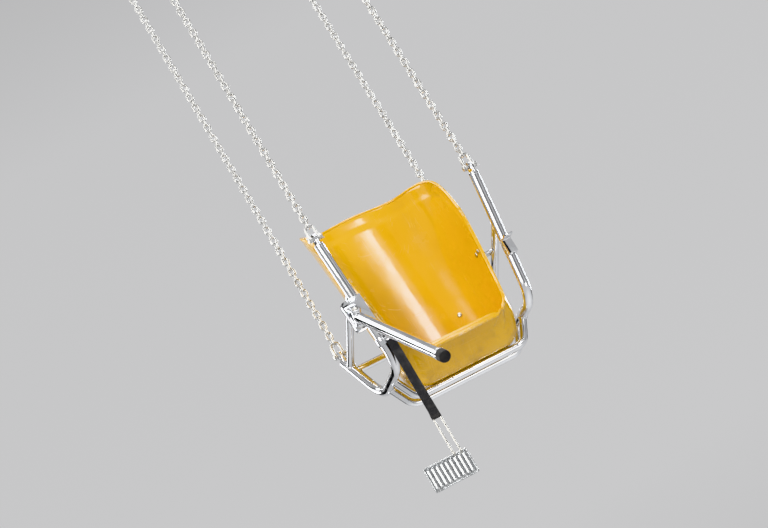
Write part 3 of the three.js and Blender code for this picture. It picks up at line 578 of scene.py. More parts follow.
for node, soft in (("mounting_flange", 0.0022), ("hanger_cheek_front", 0.0016), ("hanger_cheek_rear", 0.0016)):
    make(f"{node}_body", dressed_node(node, soft), node)
z = FLANGE_BOTTOM - 0.0008
welds = [seam((-CHEEK_HALF, sy * face, z), (CHEEK_HALF, sy * face, z), 90, 0.0034)
         for sy in (-1, 1) for face in CHEEK_FACES]
make("flange_welds", join(*welds), like="mounting_flange")


def pivot_bolt(z, way, half, radius, seat, head, nut, thick=0.0072):
    """A pivot pin, with a turned head and a nut that start at seat from its middle."""
    middle, way = Vector((0, 0, z)), Vector(way)
    return join(lathe([(-half, 0), (-half, radius), (half, radius), (half, 0)], middle, way, 40, 0.3),
                lathe(rounded(thick, head, 0.002), middle + way * seat, way, 40, 0.6),
                hexagon(thick, nut, 0.0012, middle - way * seat, -way))


roll_bolt = pivot_bolt(ROLL_PIN_Z, (0, 1, 0), 0.0593, 0.014, 0.0586, 0.0198, 0.034)
make("roll_pin_bolt", roll_bolt, "roll_pin")
nipple = [(0, 0), (0, 0.0035), (0.004, 0.0035), (0.005, 0.002), (0.007, 0.0025), (0.0085, 0)]
nipples = [lathe(nipple, (0.028, y, ROLL_PIN_Z + 0.012), (1, 0, 0), 14, 0.5) for y in (-0.013, 0.013)]
make("swivel_block_body", join(dressed_node("swivel_block", 0.0022), *nipples), "swivel_block")
pitch_bolt = pivot_bolt(PITCH_PIN_Z, (1, 0, 0), 0.047, 0.013, 0.0474, 0.0188, 0.032)
make("pitch_pin_bolt", pitch_bolt, "pitch_pin")

for node, soft in (("yoke_cheek_left", 0.0016), ("yoke_cheek_right", 0.0016), ("yoke_plate", 0.0016),
                   ("spreader_cross_beam", 0.004), ("spreader_beam_left", 0.0022), ("spreader_beam_right", 0.0022)):
    make(f"{node}_body", dressed_node(node, soft), node)
half_way = [(0.0175, BEAM_TOP), (0.0195, -0.2055), (0.0195, -0.239), (0.0175, -0.2418)]
ROUND_BEAM = half_way + [(-y, z) for y, z in reversed(half_way)]
ROUND_BEAM = ROUND_BEAM[-1:] + ROUND_BEAM  # once round the cross beam's end, in y and z
welds = []
for sx in (-1, 1):
    for face in YOKE_FACES:
        x = sx * face
        welds.append(seam((x, -YOKE_HALF, YOKE_WELD_Z), (x, YOKE_HALF, YOKE_WELD_Z), 60, 0.0032))
    x = sx * (SPAN_X / 2 - 0.0205)
    welds.append(weld(spaced([Vector((x, y, z)) for y, z in ROUND_BEAM], 0.0012)[:-1]))
    for y in (SEAT.y + FRONT_Y, SEAT.y + REAR_Y):
        for side in (-1, 1):
            x, z = sx * SPAN_X / 2 + side * 0.0055, BEAM_BOTTOM - 0.0012
            welds.append(seam((x, y - 0.015, z), (x, y + 0.015, z), 40, 0.0024))
for y in (-0.0205, 0.0205):
    welds.append(seam((-0.058, y, BEAM_TOP), (0.058, y, BEAM_TOP), 110, 0.0026))
make("spreader_welds", join(*welds), like="yoke_plate")

# Shackles and chains

TOP_PIN_Z = BEAM_BOTTOM - LUG_DROP + LUG_WIDTH / 2 - (LUG_HOLE - SHACKLE_PIN) + GAP


def shackle(x, y, pin_z, up):
    half, low, top = SHACKLE_HALF, pin_z + up * 0.006, pin_z + up * SHACKLE_LENGTH
    bow = bent_line([(x - half, y, low), (x - half, y, top), (x + half, y, top), (x + half, y, low)],
                    [half - 0.0005] * 2, 12)
    parts = [sweep(spaced(bow, 0.006), SHACKLE_ROD, 18, wear=0.35)]
    for sx in (-1, 1):
        parts.append(lathe(rounded(0.008, 0.0098, 0.0016), (x + sx * half - 0.004, y, pin_z), (1, 0, 0), 28, 0.35))
    parts.append(sweep([(x - half - 0.0045, y, pin_z), (x + half + 0.0115, y, pin_z)], SHACKLE_PIN, 20, wear=0.6))
    parts.append(lathe(rounded(0.0052, 0.0092, 0.0014), (x - half - 0.0042, y, pin_z), (-1, 0, 0), 28, 0.5))
    parts.append(hexagon(0.0052, 0.0165, 0.001, (x + half + 0.0042, y, pin_z), (1, 0, 0), 0.2))
    parts.append(cotter((x + half + 0.0108, y, pin_z)))
    return join(*parts)


def chain(x, y, low_z, high_z):
    """Welded short links from a bottom shackle's bow to a top one's, drawn tight."""
    reach = high_z - low_z + 2 * SHACKLE_ROD
    count = 2 * round((reach / PITCH - 1) / 2) + 1
    pitch = reach / count
    bend = LINK_HALF_WIDTH - WIRE
    straight = (pitch + 2 * WIRE) / 2 - bend  # half of it
    plain = [(straight * 0.5, 1.0), (0.0015, 1.04), (-0.0015, 1.04), (-straight * 0.5, 1.0)]
    welded = [(-straight * 0.5, 1.0), (-0.0022, 1.02), (-0.0008, 1.17), (0.0008, 1.17), (0.0022, 1.02),
              (straight * 0.5, 1.0)]
    line = []  # across, along, wear and thickness
    for end, side, worn in ((1, plain, 0.1), (-1, welded, 0.2)):
        for t in np.linspace(0, math.pi, 11):
            bearing = max(0.0, math.sin(t))
            line.append((end * bend * math.cos(t), end * (straight + bend * math.sin(t)),
                         bearing ** 2, 1 - 0.05 * bearing ** 4))
        line += [(-end * bend, z, worn, swell) for z, swell in side]
    across, along, worn, swell = np.array(line).T
    link = sweep(np.stack([across, 0 * across, along], -1), WIRE * swell, 10, closed=True, wear=worn)
    links = []
    for i in range(count):
        z = low_z - SHACKLE_ROD + pitch * (i + 0.5)
        turn = (math.pi / 2 if i % 2 == 0 else 0.0) + random.uniform(-0.07, 0.07)
        turn += math.pi if random.random() < 0.5 else 0.0
        links.append(place(link, Matrix.Translation((x, y, z)) @ Matrix.Rotation(turn, 4, "Z")))
    return join(*links)


SIDES = (("left", -1), ("right", 1))
for side, sx in SIDES:
    for end, y, eye in (("front", FRONT_Y, FRONT_EYE), ("rear", REAR_Y, REAR_EYE)):
        corner, (x, y, pin_z) = f"{end}_{side}", at_seat(sx * SPAN_X / 2, y, eye + (LUG_HOLE - SHACKLE_PIN) - GAP)
        make(f"shackle_top_{corner}", shackle(x, y, TOP_PIN_Z, -1), f"top_shackle_{corner}")
        make(f"shackle_bottom_{corner}", shackle(x, y, pin_z, 1), f"bottom_shackle_{corner}")
        links = chain(x, y, pin_z + SHACKLE_LENGTH, TOP_PIN_Z - SHACKLE_LENGTH)
        make(f"links_{corner}", links, f"chain_{corner}", smooth_angle=80)

# The seat frame


def side_corners(sx):
    """Top of the front post, its foot, the rear post's foot and its top."""
    top_x, foot_x = sx * SPAN_X / 2, sx * BOTTOM_RAIL_X
    return [
        at_seat(top_x, FRONT_Y, FRONT_EYE - POST_BELOW_EYE),
        at_seat(foot_x, FRONT_CORNER_Y, BOTTOM_RAIL),
        at_seat(foot_x, REAR_CORNER_Y, BOTTOM_RAIL),
        at_seat(top_x, REAR_Y, REAR_EYE - POST_BELOW_EYE),
    ]


def post_ends(sx, rear):
    """A post's top and its foot."""
    return side_corners(sx)[:1:-1] if rear else side_corners(sx)[:2]


def post_at(sx, z, rear=False):
    """The middle of a post at a height above the underside of the shell."""
    top, foot = post_ends(sx, rear)
    return foot.lerp(top, (z + SEAT.z - foot.z) / (top.z - foot.z))


def post_way(sx, rear=False):
    top, foot = post_ends(sx, rear)
    return (top - foot).normalized()


def rail_ends(sx):
    return post_at(sx, RAIL_FRONT), post_at(sx, REAR_EYE - RAIL_REAR_BELOW, True)


def domed_end(centre, way):
    arc = np.linspace(0, 1.5, 5)
    dome = [(0.0035 * math.sin(a), POST_R * (0.9 + 0.1 * math.cos(a))) for a in arc]
    return lathe([(-0.004, POST_R)] + dome + [(0.0035, POST_R * 0.5), (0.0035, 0)], centre, way, 40, 0.3)


for side, sx in SIDES:
    x = sx * SPAN_X / 2
    parts = [sweep(spaced(bent_line(side_corners(sx), [FRONT_BEND, REAR_BEND], 4), 0.02), POST_R, 40)]
    for y, eye, rear in ((FRONT_Y, FRONT_EYE, False), (REAR_Y, REAR_EYE, True)):
        top, way = at_seat(x, y, eye - POST_BELOW_EYE), post_way(sx, rear)
        parts += [domed_end(top, way), lug(at_seat(x, y, eye))]
        for a in (-0.0058, 0.0058):
            ends = [top + Vector((a, b, 0.0032 - (way.x * a + way.y * b) / way.z)) for b in (-0.0145, 0.0145)]
            parts.append(seam(*ends, 40, 0.0022))
    make(f"side_loop_{side}", join(*parts), f"side_frame_{side}")

    front, rear = rail_ends(sx)
    way, middle = (rear - front).normalized(), front.lerp(rear, 0.5)
    rod = [front + way * (POST_R / abs(way.y) * 0.86), middle, rear - way * (POST_R * 0.9)]
    make(f"arm_tube_{side}", join(
        sweep(rod, RAIL_R, 36),
        saddle_weld(middle, -way, RAIL_R, front, post_way(sx), POST_R),
        saddle_weld(middle, way, RAIL_R, rear, post_way(sx, True), POST_R),
    ), f"arm_rail_{side}")

UNDER_Z = -CROSS_R - GAP
INTO_POST = POST_R * 0.92  # where a tube ends inside another
for node, y in zip(("cross_tube_front", "cross_tube_rear"), CROSS_Y):
    corners = [at_seat(x, y, z) for x, z in (
        (-BOTTOM_RAIL_X, BOTTOM_RAIL), (-FLAT_X, UNDER_Z), (FLAT_X, UNDER_Z), (BOTTOM_RAIL_X, BOTTOM_RAIL))]
    line = bent_line(corners, [CROSS_BEND] * 2, 4)
    rise = (corners[0] - corners[1]).normalized()
    ways = [rise, Vector((-rise.x, 0, rise.z))]
    line[0], line[-1] = corners[0] - ways[0] * INTO_POST, corners[3] - ways[1] * INTO_POST
    parts = [sweep(spaced(line, 0.02), CROSS_R, 36)]
    for corner, way in zip((corners[0], corners[3]), ways):
        parts.append(saddle_weld(corner - way * 0.05, way, CROSS_R, corner, (0, 1, 0), POST_R))
    make(f"{node}_tube", join(*parts), node)

back_left, back_right = post_at(-1, BACK_RAIL, True), post_at(1, BACK_RAIL, True)
inset, middle = Vector((INTO_POST, 0, 0)), back_left.lerp(back_right, 0.5)
parts = [sweep(spaced([back_left + inset, back_right - inset], 0.06), CROSS_R, 36)]
for sx, end in ((-1, back_left), (1, back_right)):
    parts.append(saddle_weld(middle, (sx, 0, 0), CROSS_R, end, post_way(sx, True), POST_R))
make("back_rail_tube", join(*parts), "back_rail")

# The seat shell, from the same lines as the part's source, with many more of them

SHELL = SimpleNamespace(
    thick=0.006, half_x=0.200, front=-0.158, rear=0.122, front_square=3.4, rear_square=2.5, floor_radius=0.066,
    wall_bend=86.0, lean=0.11, lean_from=-0.040, back_top=0.702, corner_top=0.680, wing_top=0.480, corner_y=0.084,
    wing_from=57.0, wing_to=76.0, lip_corner_from=38.0, lip_corner_to=62.0, lip_rise=0.088, lip_from=-0.030,
    lip_to=-0.150, lip_fade=0.170, lip_bend=80.0, lip_radius=0.016, lip_drop=0.008)
MIDDLE_Y = (SHELL.front + SHELL.rear) / 2
HALF_Y = (SHELL.rear - SHELL.front) / 2
COLUMNS, FLOOR_ROWS, BEND_ROWS, WALL_ROWS = 360, 20, 12, 60
RIM_BEAD = 0.0052
BAND_STEP, BAND_FROM, BAND_TO = 0.0030, 0.050, 0.064  # the rim's band stands out from the bucket


def smooth(low, high, value):
    t = np.clip((value - low) / (high - low), 0, 1)
    return t * t * (3 - 2 * t)


def blend(low, high, share):
    return low + (high - low) * share


def outline(degrees):
    angle = np.radians(degrees)
    across, ahead = np.sin(angle), np.cos(angle)
    power = blend(SHELL.rear_square, SHELL.front_square, smooth(-0.5, 0.5, ahead))
    reach = (np.abs(across / SHELL.half_x) ** power + np.abs(ahead / HALF_Y) ** power) ** (-1 / power)
    return np.stack([reach * across, MIDDLE_Y - reach * ahead], -1)


def shell_grid():
    """Rows of points of the outer face, from the floor's middle to the rim, and their distances from the rim."""
    degrees = 360 * (np.arange(COLUMNS) + 0.5) / COLUMNS
    edge = outline(degrees)
    along = outline(degrees + 0.05) - outline(degrees - 0.05)
    along /= np.linalg.norm(along, axis=1)[:, None]
    outward = np.stack([along[:, 1], -along[:, 0]], -1)
    away = np.abs((degrees + 180) % 360 - 180)
    side = smooth(SHELL.lip_corner_from, SHELL.lip_corner_to, away)
    bend = np.radians(blend(-SHELL.lip_bend, SHELL.wall_bend, side))
    radius = blend(SHELL.lip_radius, SHELL.floor_radius, side)
    wing_front = outline(np.array([SHELL.wing_to]))[0, 1]
    back = np.clip((edge[:, 1] - wing_front) / (SHELL.corner_y - wing_front), 0, 1)
    rim = blend(SHELL.wing_top, SHELL.corner_top, np.sin(back * math.pi / 2))
    rim = rim + back * smooth(0, 1, 1 - np.abs(edge[:, 0]) / SHELL.half_x) * (SHELL.back_top - SHELL.corner_top)
    rise = smooth(SHELL.wing_from, SHELL.wing_to, away)
    wall = blend(SHELL.lip_drop, rim - radius, rise)
    turned = np.sin(np.abs(bend))
    start = edge - outward * (radius * turned + SHELL.lip_drop * np.cos(bend))[:, None]
    rows, from_rim = [], []

    def add(flat, height, distance):
        lean = SHELL.lean * np.maximum(height, 0) * smooth(SHELL.lean_from, SHELL.rear, edge[:, 1])
        lift = SHELL.lip_rise * smooth(-SHELL.lip_from, -SHELL.lip_to, -flat[:, 1])
        z = height + lift * (1 - smooth(0, SHELL.lip_fade, height))
        rows.append(np.stack([flat[:, 0], flat[:, 1] + lean, z], -1))
        from_rim.append(distance)

    middle = np.array([0.0, MIDDLE_Y])
    for share in np.linspace(0.04, 1, FLOOR_ROWS):
        add(middle + (start - middle) * share, np.zeros(COLUMNS), wall + 0.1)
    for k in range(1, BEND_ROWS + 1):
        angle = np.abs(bend) * k / BEND_ROWS
        height = np.sign(bend) * radius * (1 - np.cos(angle))
        add(start + outward * (radius * np.sin(angle))[:, None], height, wall + 0.08 * (1 - k / BEND_ROWS))
    for k in range(1, WALL_ROWS + 1):
        reach = wall * k / WALL_ROWS
        height = np.sign(bend) * radius * (1 - np.cos(bend)) + reach * np.sin(bend)
        add(start + outward * (radius * turned + reach * np.cos(bend))[:, None], height, wall - reach)
    return np.array(rows), np.array(from_rim), rise


def shell_part():
    grid, from_rim, rise = shell_grid()
    normal = np.cross(np.gradient(grid, axis=0), np.roll(grid, -1, 1) - np.roll(grid, 1, 1))
    normal /= np.linalg.norm(normal, axis=2)[:, :, None]
    step = BAND_STEP * (1 - smooth(BAND_FROM, BAND_TO, from_rim)) * smooth(0.2, 0.9, rise)[None, :]
    grid = grid - normal * step[:, :, None]
    tangent = (grid[-1] - grid[-3]) / np.linalg.norm(grid[-1] - grid[-3], axis=1)[:, None]
    inner = grid + normal * SHELL.thick
    centre = grid[-1] + normal[-1] * (SHELL.thick / 2) - tangent * RIM_BEAD
    arc = np.radians(np.linspace(-60, 240, 15))
    bead = [centre + (tangent * math.sin(a) - normal[-1] * math.cos(a)) * RIM_BEAD for a in arc]
    layers = [*grid[:-1], *bead, *inner[-2::-1]]
    points, last = np.vstack(layers), (len(layers) - 1) * COLUMNS
    flat = [0.0] * (len(grid) - 1)
    wear = np.repeat(flat + [max(0.0, math.sin(a)) for a in arc] + flat, COLUMNS)
    faces = rings(len(layers), COLUMNS)
    for base in (0, last):
        faces += [(len(points), base + i, base + (i + 1) % COLUMNS) for i in range(COLUMNS)]
        points = np.vstack([points, points[base:base + COLUMNS].mean(0)])
    return points + np.array(SEAT), faces, np.append(wear, [0.0, 0.0])


def cut_holes(obj, tools):
    """Cuts tools out of obj and takes them away."""
    for tool in tools:
        cutter = obj.modifiers.new("hole", "BOOLEAN")
        cutter.object = tool
        cutter.solver = "EXACT"
    bpy.context.view_layer.update()
    cut = bpy.data.meshes.new_from_object(obj.evaluated_get(bpy.context.evaluated_depsgraph_get()))
    obj.modifiers.clear()
    obj.data = cut
    for tool in tools:
        bpy.data.objects.remove(tool)


def drill(x, y, radius, stretch=0.0, count=28):
    """A tool for a round or long hole down through the seat's floor."""
    ring = [(x + radius * math.cos(t) + math.copysign(stretch, math.cos(t)), y + radius * math.sin(t))
            for t in turns(count)]
    return mesh_object("drill", [at_seat(*point, z) for z in (-0.02, 0.03) for point in ring], capped(2, count))


shell = make("moulded_shell", shell_part(), "seat_shell", smooth_angle=50)
cut_holes(shell, [drill(x, 0.018, 0.006, 0.010) for x in (-0.060, 0.0, 0.060)]
          + [drill(x, 0.030, 0.005) for x in (-0.105, 0.105)])

# Fastenings on the shell's inner face
shell_tree = BVHTree.FromObject(shell, bpy.context.evaluated_depsgraph_get())


def on_shell(start, way):
    hit, normal, _, _ = shell_tree.ray_cast(Vector(start), Vector(way).normalized())
    return hit, (normal if normal.dot(Vector(way)) < 0 else -normal)


rail_front, rail_rear = rail_ends(1)
BRACKET = rail_front.lerp(rail_rear, (SEAT.y + WING_Y - rail_front.y) / (rail_rear.y - rail_front.y))
BRACKET_Z = BRACKET.z - SEAT.z
BOLT_Y, BOLT_RISE = (WING_Y - 0.014, WING_Y + 0.014), 0.016
bolts = []
for x in (-0.115, 0.115):
    bolts += [dome_head(*on_shell(at_seat(x, y, 0.15), (0, 0, -1))) for y in CROSS_Y]
    bolts.append(dome_head(*on_shell(at_seat(x, 0.0, BACK_RAIL), (0, 1, 0))))
for sx in (-1, 1):
    bolts += [dome_head(*on_shell(at_seat(0, y, BRACKET_Z + BOLT_RISE), (sx, 0, 0))) for y in BOLT_Y]
make("shell_bolts", join(*bolts), like="bar_hinge_pin")

# Brackets between the arm rails and the wings, with a foot bolted through the shell
for side, sx in SIDES:
    hit, _ = on_shell(at_seat(sx * BRACKET.x, WING_Y, BRACKET_Z + 0.012), (-sx, 0, 0))
    inner = sx * (BRACKET.x - RAIL_R - 0.0005)
    parts = []
    for xs, half, high in (((hit.x + sx * 0.0022, inner), 0.022, 0.003),
                           ((hit.x - sx * 0.0006, hit.x + sx * 0.0038), 0.024, 0.030)):
        parts.append(block(at_seat(min(xs), WING_Y - half, BRACKET_Z - 0.003),
                           at_seat(max(xs), WING_Y + half, BRACKET_Z + high)))
    for y in BOLT_Y:
        parts.append(bolt_head(at_seat(hit.x + sx * 0.0036, y, BRACKET_Z + BOLT_RISE), (sx, 0, 0), 0.011))
    for z in (BRACKET_Z - 0.0042, BRACKET_Z + 0.0042):
        ends = [at_seat(inner + sx * 0.0008, WING_Y + y, z) for y in (-0.018, 0.018)]
        parts.append(seam(*ends, 60, 0.0022))
    make(f"wing_plate_{side}", join(*parts), f"wing_bracket_{side}")

# Rubber buffers between the shell's back and the back rail
for side, sx in SIDES:
    start = on_shell(at_seat(sx * BUFFER_X, 0.40, BACK_RAIL), (0, -1, 0))[0] - Vector((0, 0.002, 0))
    length = back_left.y - start.y - 0.004
    profile = [(0, 0), (0, 0.0172), (0.0015, 0.0180), (length * 0.5, 0.0165), (length - 0.0015, 0.0176),
               (length, 0.0165), (length, 0)]
    buffer = lathe(profile, start, (0, 1, 0), 36)
    for point in buffer[0]:
        against, _ = on_shell((point[0], start.y + 0.2, point[2]), (0, -1, 0))
        point[1] = blend(against.y - 0.0008, point[1], (point[1] - start.y) / length)
    make(f"buffer_{side}", buffer, f"back_buffer_{side}")

# The lap bar, its hinge and its catch

LEAN = math.radians(35)
PIN_AXIS = Vector((0, -math.sin(LEAN), math.cos(LEAN)))
OPEN_WAY = Vector((0, -math.cos(LEAN), -math.sin(LEAN)))
HINGE = post_at(-1, 0.244) + Vector((-0.040, -0.052, 0))
BAR_LENGTH, BAR_R, SLEEVE_HALF, SLEEVE_R, PIN_HALF, PIN_R = 0.596, 0.017, 0.020, 0.015, 0.0269, 0.007

sleeve = [(-SLEEVE_HALF, 0.0076), (-SLEEVE_HALF, 0.0138), (0.0012 - SLEEVE_HALF, SLEEVE_R),
          (SLEEVE_HALF - 0.0012, SLEEVE_R), (SLEEVE_HALF, 0.0138), (SLEEVE_HALF, 0.0076), (-SLEEVE_HALF, 0.0076)]
make("lap_bar_tube", join(
    lathe(sleeve, HINGE, PIN_AXIS, 40, 0.3),
    sweep([HINGE + OPEN_WAY * t for t in np.linspace(0.0135, BAR_LENGTH, 30)], BAR_R, 48),
    saddle_weld(HINGE + OPEN_WAY * 0.06, -OPEN_WAY, 0.0138, HINGE, PIN_AXIS, SLEEVE_R, 0.0026),
    lathe(rounded(0.006, BAR_R + 0.0012, 0.0014), HINGE + OPEN_WAY * (BAR_LENGTH - 0.030), OPEN_WAY, 48, 0.4),
), "lap_bar")
cap = [(-0.016, 0.0172), (-0.016, 0.0182), (0.006, 0.0182), (0.0105, 0.0172), (0.0130, 0.0138), (0.0142, 0.008),
       (0.0145, 0)]
make("lap_bar_end", lathe(cap, HINGE + OPEN_WAY * BAR_LENGTH, OPEN_WAY, 48), "lap_bar_cap")


def strip_corner(run, middle):
    """Rounds the bracket's two corners away from the post."""
    along_thickness = abs(run.normalized().y) > 0.98 and 0.016 < run.length < 0.018
    return 0.012 if along_thickness and middle.x < HINGE.x else 0


bracket = dressed_node("bar_hinge_bracket", 0.0009, 0.0012, strip_corner)
make("hinge_bracket_body", bracket, "bar_hinge_bracket", smooth_angle=32)
PIN_TOP, PIN_BOTTOM = HINGE + PIN_AXIS * PIN_HALF, HINGE - PIN_AXIS * PIN_HALF
make("hinge_pin_bolt", join(
    sweep([PIN_BOTTOM, PIN_TOP], PIN_R, 28, wear=0.3),
    dome_head(PIN_TOP, PIN_AXIS, 0.0108, 0.0048),
    hexagon(0.0048, 0.0185, 0.001, PIN_BOTTOM, -PIN_AXIS),
), "bar_hinge_pin")
make("catch_body", dressed_node("bar_catch", 0.0012), "bar_catch", smooth_angle=32)

# The latch strap on its clamp, with its hook and ribbed plate

STRAP_LENGTH, CLAMP_HALF, CLAMP_Z, TAB_X, TAB_Y = 0.268, 0.013, 0.159, 0.016, -POST_R - 0.007
post_turn = Vector((0, 0, 1)).rotation_difference(post_way(-1))


def at_clamp(x, y, z):
    """A point given beside the left front post as if it stood upright."""
    return post_at(-1, CLAMP_Z) + post_turn @ Vector((x, y, z))


STRAP_X, STRAP_Y, tab_foot = at_clamp(TAB_X, TAB_Y, -CLAMP_HALF) - SEAT
STRAP_TOP = tab_foot + (post_turn @ Vector((-0.015, -0.002, 0))).z - GAP
tab_front = post_turn @ Vector((0, -1, 0))
make("clamp_body", join(
    dressed_node("strap_clamp", 0.0008, 0.0012),
    *(bolt_head(at_clamp(TAB_X + x, TAB_Y - 0.0047, 0), tab_front, 0.010, 0.005) for x in (0.008, -0.008)),
), "strap_clamp", smooth_angle=32)


def on_strap(x, y, z):
    """A point beside the strap's line, at a height above the underside of the shell."""
    return at_seat(STRAP_X + x, STRAP_Y + y, z)


def ribbon(p, width, thick, sides=24):
    """A flat band along a line in a plane across X, with soft edges."""
    section = [(width / 2 * math.copysign(abs(math.cos(t)) ** 0.35, math.cos(t)),
                thick / 2 * math.copysign(abs(math.sin(t)) ** 0.7, math.sin(t))) for t in turns(sides)]
    points = []
    for before, q, after in zip([p[0]] + p, p, p[1:] + [p[-1]]):
        normal = (after - before).normalized().cross(Vector((1, 0, 0)))
        points += [tuple(q + Vector((a, 0, 0)) + normal * b) for a, b in section]
    return np.array(points), capped(len(p), sides), np.zeros(len(points))


WIRE_Z = STRAP_TOP - STRAP_LENGTH - GAP - 0.003  # the hook's top wire, that the strap's loop goes round
FRONT, TURN_R = -0.0037, 0.0043
path = [at_clamp(TAB_X, TAB_Y + FRONT, z) for z in np.linspace(CLAMP_HALF - 0.002, -CLAMP_HALF, 6)]
path += [on_strap(0, FRONT + 0.0025 * smooth(0, 0.03, STRAP_TOP - z), z)
         for z in np.linspace(STRAP_TOP - 0.004, STRAP_TOP - 0.032, 8)]
for z in np.linspace(STRAP_TOP - 0.035, WIRE_Z + 0.012, 26):
    sag = 0.0025 - 0.0028 * smooth(STRAP_TOP - 0.035, WIRE_Z + 0.02, z) + 0.0012 * math.sin((z - WIRE_Z) * 19)
    path.append(on_strap(0, FRONT + sag, z))
path += [on_strap(0, -TURN_R * math.cos(t), WIRE_Z - TURN_R * math.sin(t)) for t in np.linspace(0, math.pi, 13)]
path += [on_strap(0, blend(TURN_R, -0.0012, smooth(0.006, 0.022, z)), WIRE_Z + z)
         for z in np.linspace(0.006, 0.062, 12)]


def stitch(x, z, way):
    middle, half = on_strap(x, -0.0036, WIRE_Z + z), Vector(way) * 0.0009
    return sweep([middle - half, middle + Vector((0, -0.0005, 0)), middle + half], 0.0005, 6)


SEAM_X, SEAM_Z = 0.0115, (0.026, 0.054)
stitches = [stitch(x, z, (1, 0, 0)) for x in np.linspace(-SEAM_X, SEAM_X, 9) for z in SEAM_Z]
stitches += [stitch(x, z, (0, 0, 1)) for z in np.linspace(0.029, 0.051, 9) for x in (-SEAM_X, SEAM_X)]
make("webbing_strap", join(ribbon(path, 0.030, 0.0019), *stitches), "latch_strap", smooth_angle=60)

HOOK_HALF, HOOK_LENGTH, EYE_BELOW = 0.012, 0.120, 0.0045
hook_low = WIRE_Z - HOOK_LENGTH
plate_top = hook_low - GAP
hook = bent_line([on_strap(HOOK_HALF, 0, hook_low - 0.003), on_strap(HOOK_HALF, 0, WIRE_Z),
                  on_strap(-HOOK_HALF, 0, WIRE_Z), on_strap(-HOOK_HALF, 0, hook_low - 0.003)], [0.005, 0.005], 12)
parts = [sweep(spaced(hook, 0.008), 0.003, 20, wear=0.4)]
_, u, v = axes_about((1, 0, 0))
for sx in (-1, 1):
    eye = on_strap(sx * HOOK_HALF, 0, plate_top - EYE_BELOW)
    ring = [eye + (u * math.cos(t) + v * math.sin(t)) * 0.0062 for t in turns(28)]
    parts.append(sweep(ring, 0.0024, 12, closed=True, wear=0.5))
make("hook_wire", join(*parts), "strap_hook")


def ribbed_plate(low, high, ribs=9, height=0.0030, thick=0.0014, rows=25):
    """A pressed plate square to Y, with upright ribs inside a flat border."""
    columns = ribs * 14 + 1
    u, w = np.meshgrid(np.linspace(0, 1, columns), np.linspace(0, 1, rows))
    inside = smooth(0.03, 0.07, np.minimum(u, 1 - u)) * smooth(0.05, 0.13, np.minimum(w, 1 - w))
    bulge = height * inside * (0.5 - 0.5 * np.cos(2 * math.pi * ribs * (u - 0.03) / 0.94)) ** 0.8
    back, front = (np.stack([u, face - bulge, w], -1) for face in (thick / 2, -thick / 2))
    points = np.concatenate([front, back[:, ::-1]], 1).reshape(-1, 3)  # each row goes round both faces
    worn = np.clip(-points[:, 1] / height, 0, 1)
    faces = rings(rows, 2 * columns)
    for a in (0, (rows - 1) * 2 * columns):
        b = a + 2 * columns - 1
        faces += [(a + c, a + c + 1, b - c - 1, b - c) for c in range(columns - 1)]
    size = np.array([high[0] - low[0], 1, high[2] - low[2]])
    return points * size + np.array(low), faces, worn


PLATE_ASIDE, PLATE_HALF, PLATE_HEIGHT, WIRE_IN = -0.045, 0.074, 0.083, 0.0015
low, high = plate_top - PLATE_HEIGHT, plate_top - EYE_BELOW
plate = ribbed_plate(on_strap(PLATE_ASIDE - PLATE_HALF, 0, low), on_strap(PLATE_ASIDE + PLATE_HALF, 0, high))
reach = PLATE_HALF - WIRE_IN
edge = [on_strap(PLATE_ASIDE + x, 0, z)
        for x, z in ((-reach, high), (-reach, low + WIRE_IN), (reach, low + WIRE_IN), (reach, high))]
reach = PLATE_HALF - 0.0005
top = [on_strap(PLATE_ASIDE + x, 0, high) for x in np.linspace(-reach, reach, 12)]
make("ribbed_plate", join(
    plate,
    sweep(spaced(bent_line(edge, [0.006, 0.006], 15), 0.01), 0.0024, 14, wear=0.7),
    sweep(top, 0.0036, 18, wear=0.6),
), "strap_plate", smooth_angle=50)

# Studio: a pale floor, a pale surround and soft lights

# grey levels from straight down (0) over the horizon (0.5) to straight up (1)
STOPS = [(0.0, 0.30), (0.44, 0.48), (0.50, 0.57), (0.56, 0.62), (0.70, 0.60), (0.80, 0.42), (1.0, 0.45)]
n = Nodes("studio", kind=bpy.data.worlds)
bpy.context.scene.world = n.owner
height = n.node("SeparateXYZ", {0: n.node("TexCoord").outputs["Generated"]}).outputs["Z"]
ramp = n.node("ValToRGB", {"Fac": n.span(height, -1.0, 1.0)})
while len(ramp.color_ramp.elements) < len(STOPS):
    ramp.color_ramp.elements.new(0.5)
for element, (position, level) in zip(ramp.color_ramp.elements, STOPS):
    element.position = position
    element.color = (level, level, level * 1.01, 1)
n.put(n.tree.nodes["Background"].inputs["Color"], ramp.outputs["Color"])
n.put(n.tree.nodes["Background"].inputs["Strength"], 1.0)
bpy.context.scene.view_settings.view_transform = "Khronos PBR Neutral"

FLOOR_Z, FLOOR_REACH, FLOOR_SIDES = -9.0, 150.0, 96
disc = [(FLOOR_REACH * math.cos(t), FLOOR_REACH * math.sin(t), FLOOR_Z) for t in turns(FLOOR_SIDES)]
floor = mesh_object("floor", disc, [tuple(range(FLOOR_SIDES))])
floor.data.materials.append(Nodes("floor_pale", (0.86, 0.865, 0.87)).finish(
    roughness=0.85, emission_color=(1, 1, 1, 1), emission_strength=0.2))

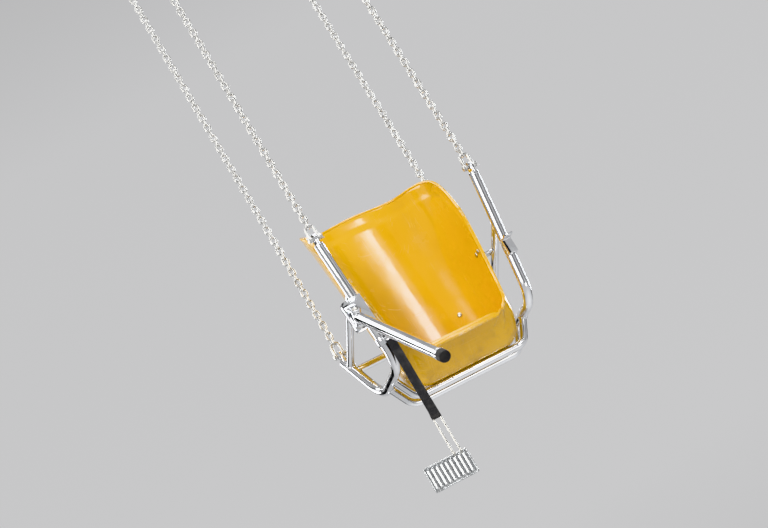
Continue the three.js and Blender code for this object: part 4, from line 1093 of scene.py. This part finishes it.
AIM = (0, 0, -2.5)
for name, spot, aim, size, power, colour in (
    ("key", (-3.2, -3.6, -1.2), AIM, (1.6, 2.4), 150, (1.0, 0.98, 0.95)),
    ("low_front", (1.2, -4.0, -4.0), AIM, (2.2, 0.9), 18, (1.0, 0.97, 0.93)),
    ("rim", (3.6, 2.2, -1.4), AIM, (0.8, 2.6), 110, (0.95, 0.98, 1.0)),
    ("rear_left", (-3.0, 3.4, -1.6), AIM, (1.6, 1.6), 70, (1, 1, 1)),
    ("top", (0.4, -0.6, 1.8), (0, 0, -1.2), (2.4, 2.4), 130, (1, 1, 1)),
    ("strip", (1.35, -3.4, -0.3), (0, 0, -2.4), (0.22, 2.0), 26, (1, 1, 1)),
    ("rear_top", (-1.7, 1.9, 0.6), (-0.3, -0.4, -2.7), (2.6, 1.8), 45, (1, 1, 1)),
):
    light = bpy.data.lights.new(name, "AREA")
    light.shape = "RECTANGLE"
    light.size, light.size_y = size
    light.energy, light.color = power, colour
    placed(name, light, spot, (Vector(aim) - Vector(spot)).to_track_quat("-Z", "Y")).visible_camera = False

# Black studio flags round the set, that only the polished metal sees
flag_look = Nodes("flag_black", (0.01, 0.01, 0.01)).finish(roughness=1.0)
FLAG_REACH, FLAG_LOW, FLAG_HIGH = 5.0, Vector((0, 0, -4.5)), Vector((0, 0, 2.0))
for degrees, width in ((109, 2.4), (-147, 2.4), (6, 1.2), (56, 1.0), (-104, 1.0)):
    angle = math.radians(degrees)
    middle = Vector((math.sin(angle), -math.cos(angle), 0)) * FLAG_REACH
    across = Vector((math.cos(angle), math.sin(angle), 0)) * width / 2
    left, right = middle - across, middle + across
    corners = [left + FLAG_LOW, right + FLAG_LOW, right + FLAG_HIGH, left + FLAG_HIGH]
    flag = mesh_object("flag", corners, [(0, 1, 2, 3)])
    flag.data.materials.append(flag_look)
    flag.visible_camera = flag.visible_diffuse = flag.visible_shadow = False

# Camera at the photograph's angle: from in front, to the left and below, leaning with the chair's swing

AZIMUTH, ELEVATION, ROLL, DISTANCE = math.radians(-19), math.radians(-16), math.radians(31), 6.0
PIXELS_PER_METRE, WIDTH, HEIGHT, SENSOR = 320.0, 768, 528, 36
AIM_PIXEL = (430, 292)  # where the seat's middle stands in the frame
back = Vector((math.sin(AZIMUTH) * math.cos(ELEVATION), -math.cos(AZIMUTH) * math.cos(ELEVATION), math.sin(ELEVATION)))
look = (-back).to_track_quat("-Z", "Y").to_matrix() @ Matrix.Rotation(-ROLL, 3, "Z")
right, up = look @ Vector((1, 0, 0)), look @ Vector((0, 1, 0))
aside, below = AIM_PIXEL[0] - WIDTH / 2, AIM_PIXEL[1] - HEIGHT / 2
target = at_seat(0, -0.06, 0.26) - (right * (aside / PIXELS_PER_METRE) - up * (below / PIXELS_PER_METRE))
camera_data = bpy.data.cameras.new("camera")
camera_data.sensor_width = SENSOR
camera_data.lens = SENSOR * PIXELS_PER_METRE * DISTANCE / WIDTH
bpy.context.scene.camera = placed("camera", camera_data, target + back * DISTANCE, look.to_quaternion())
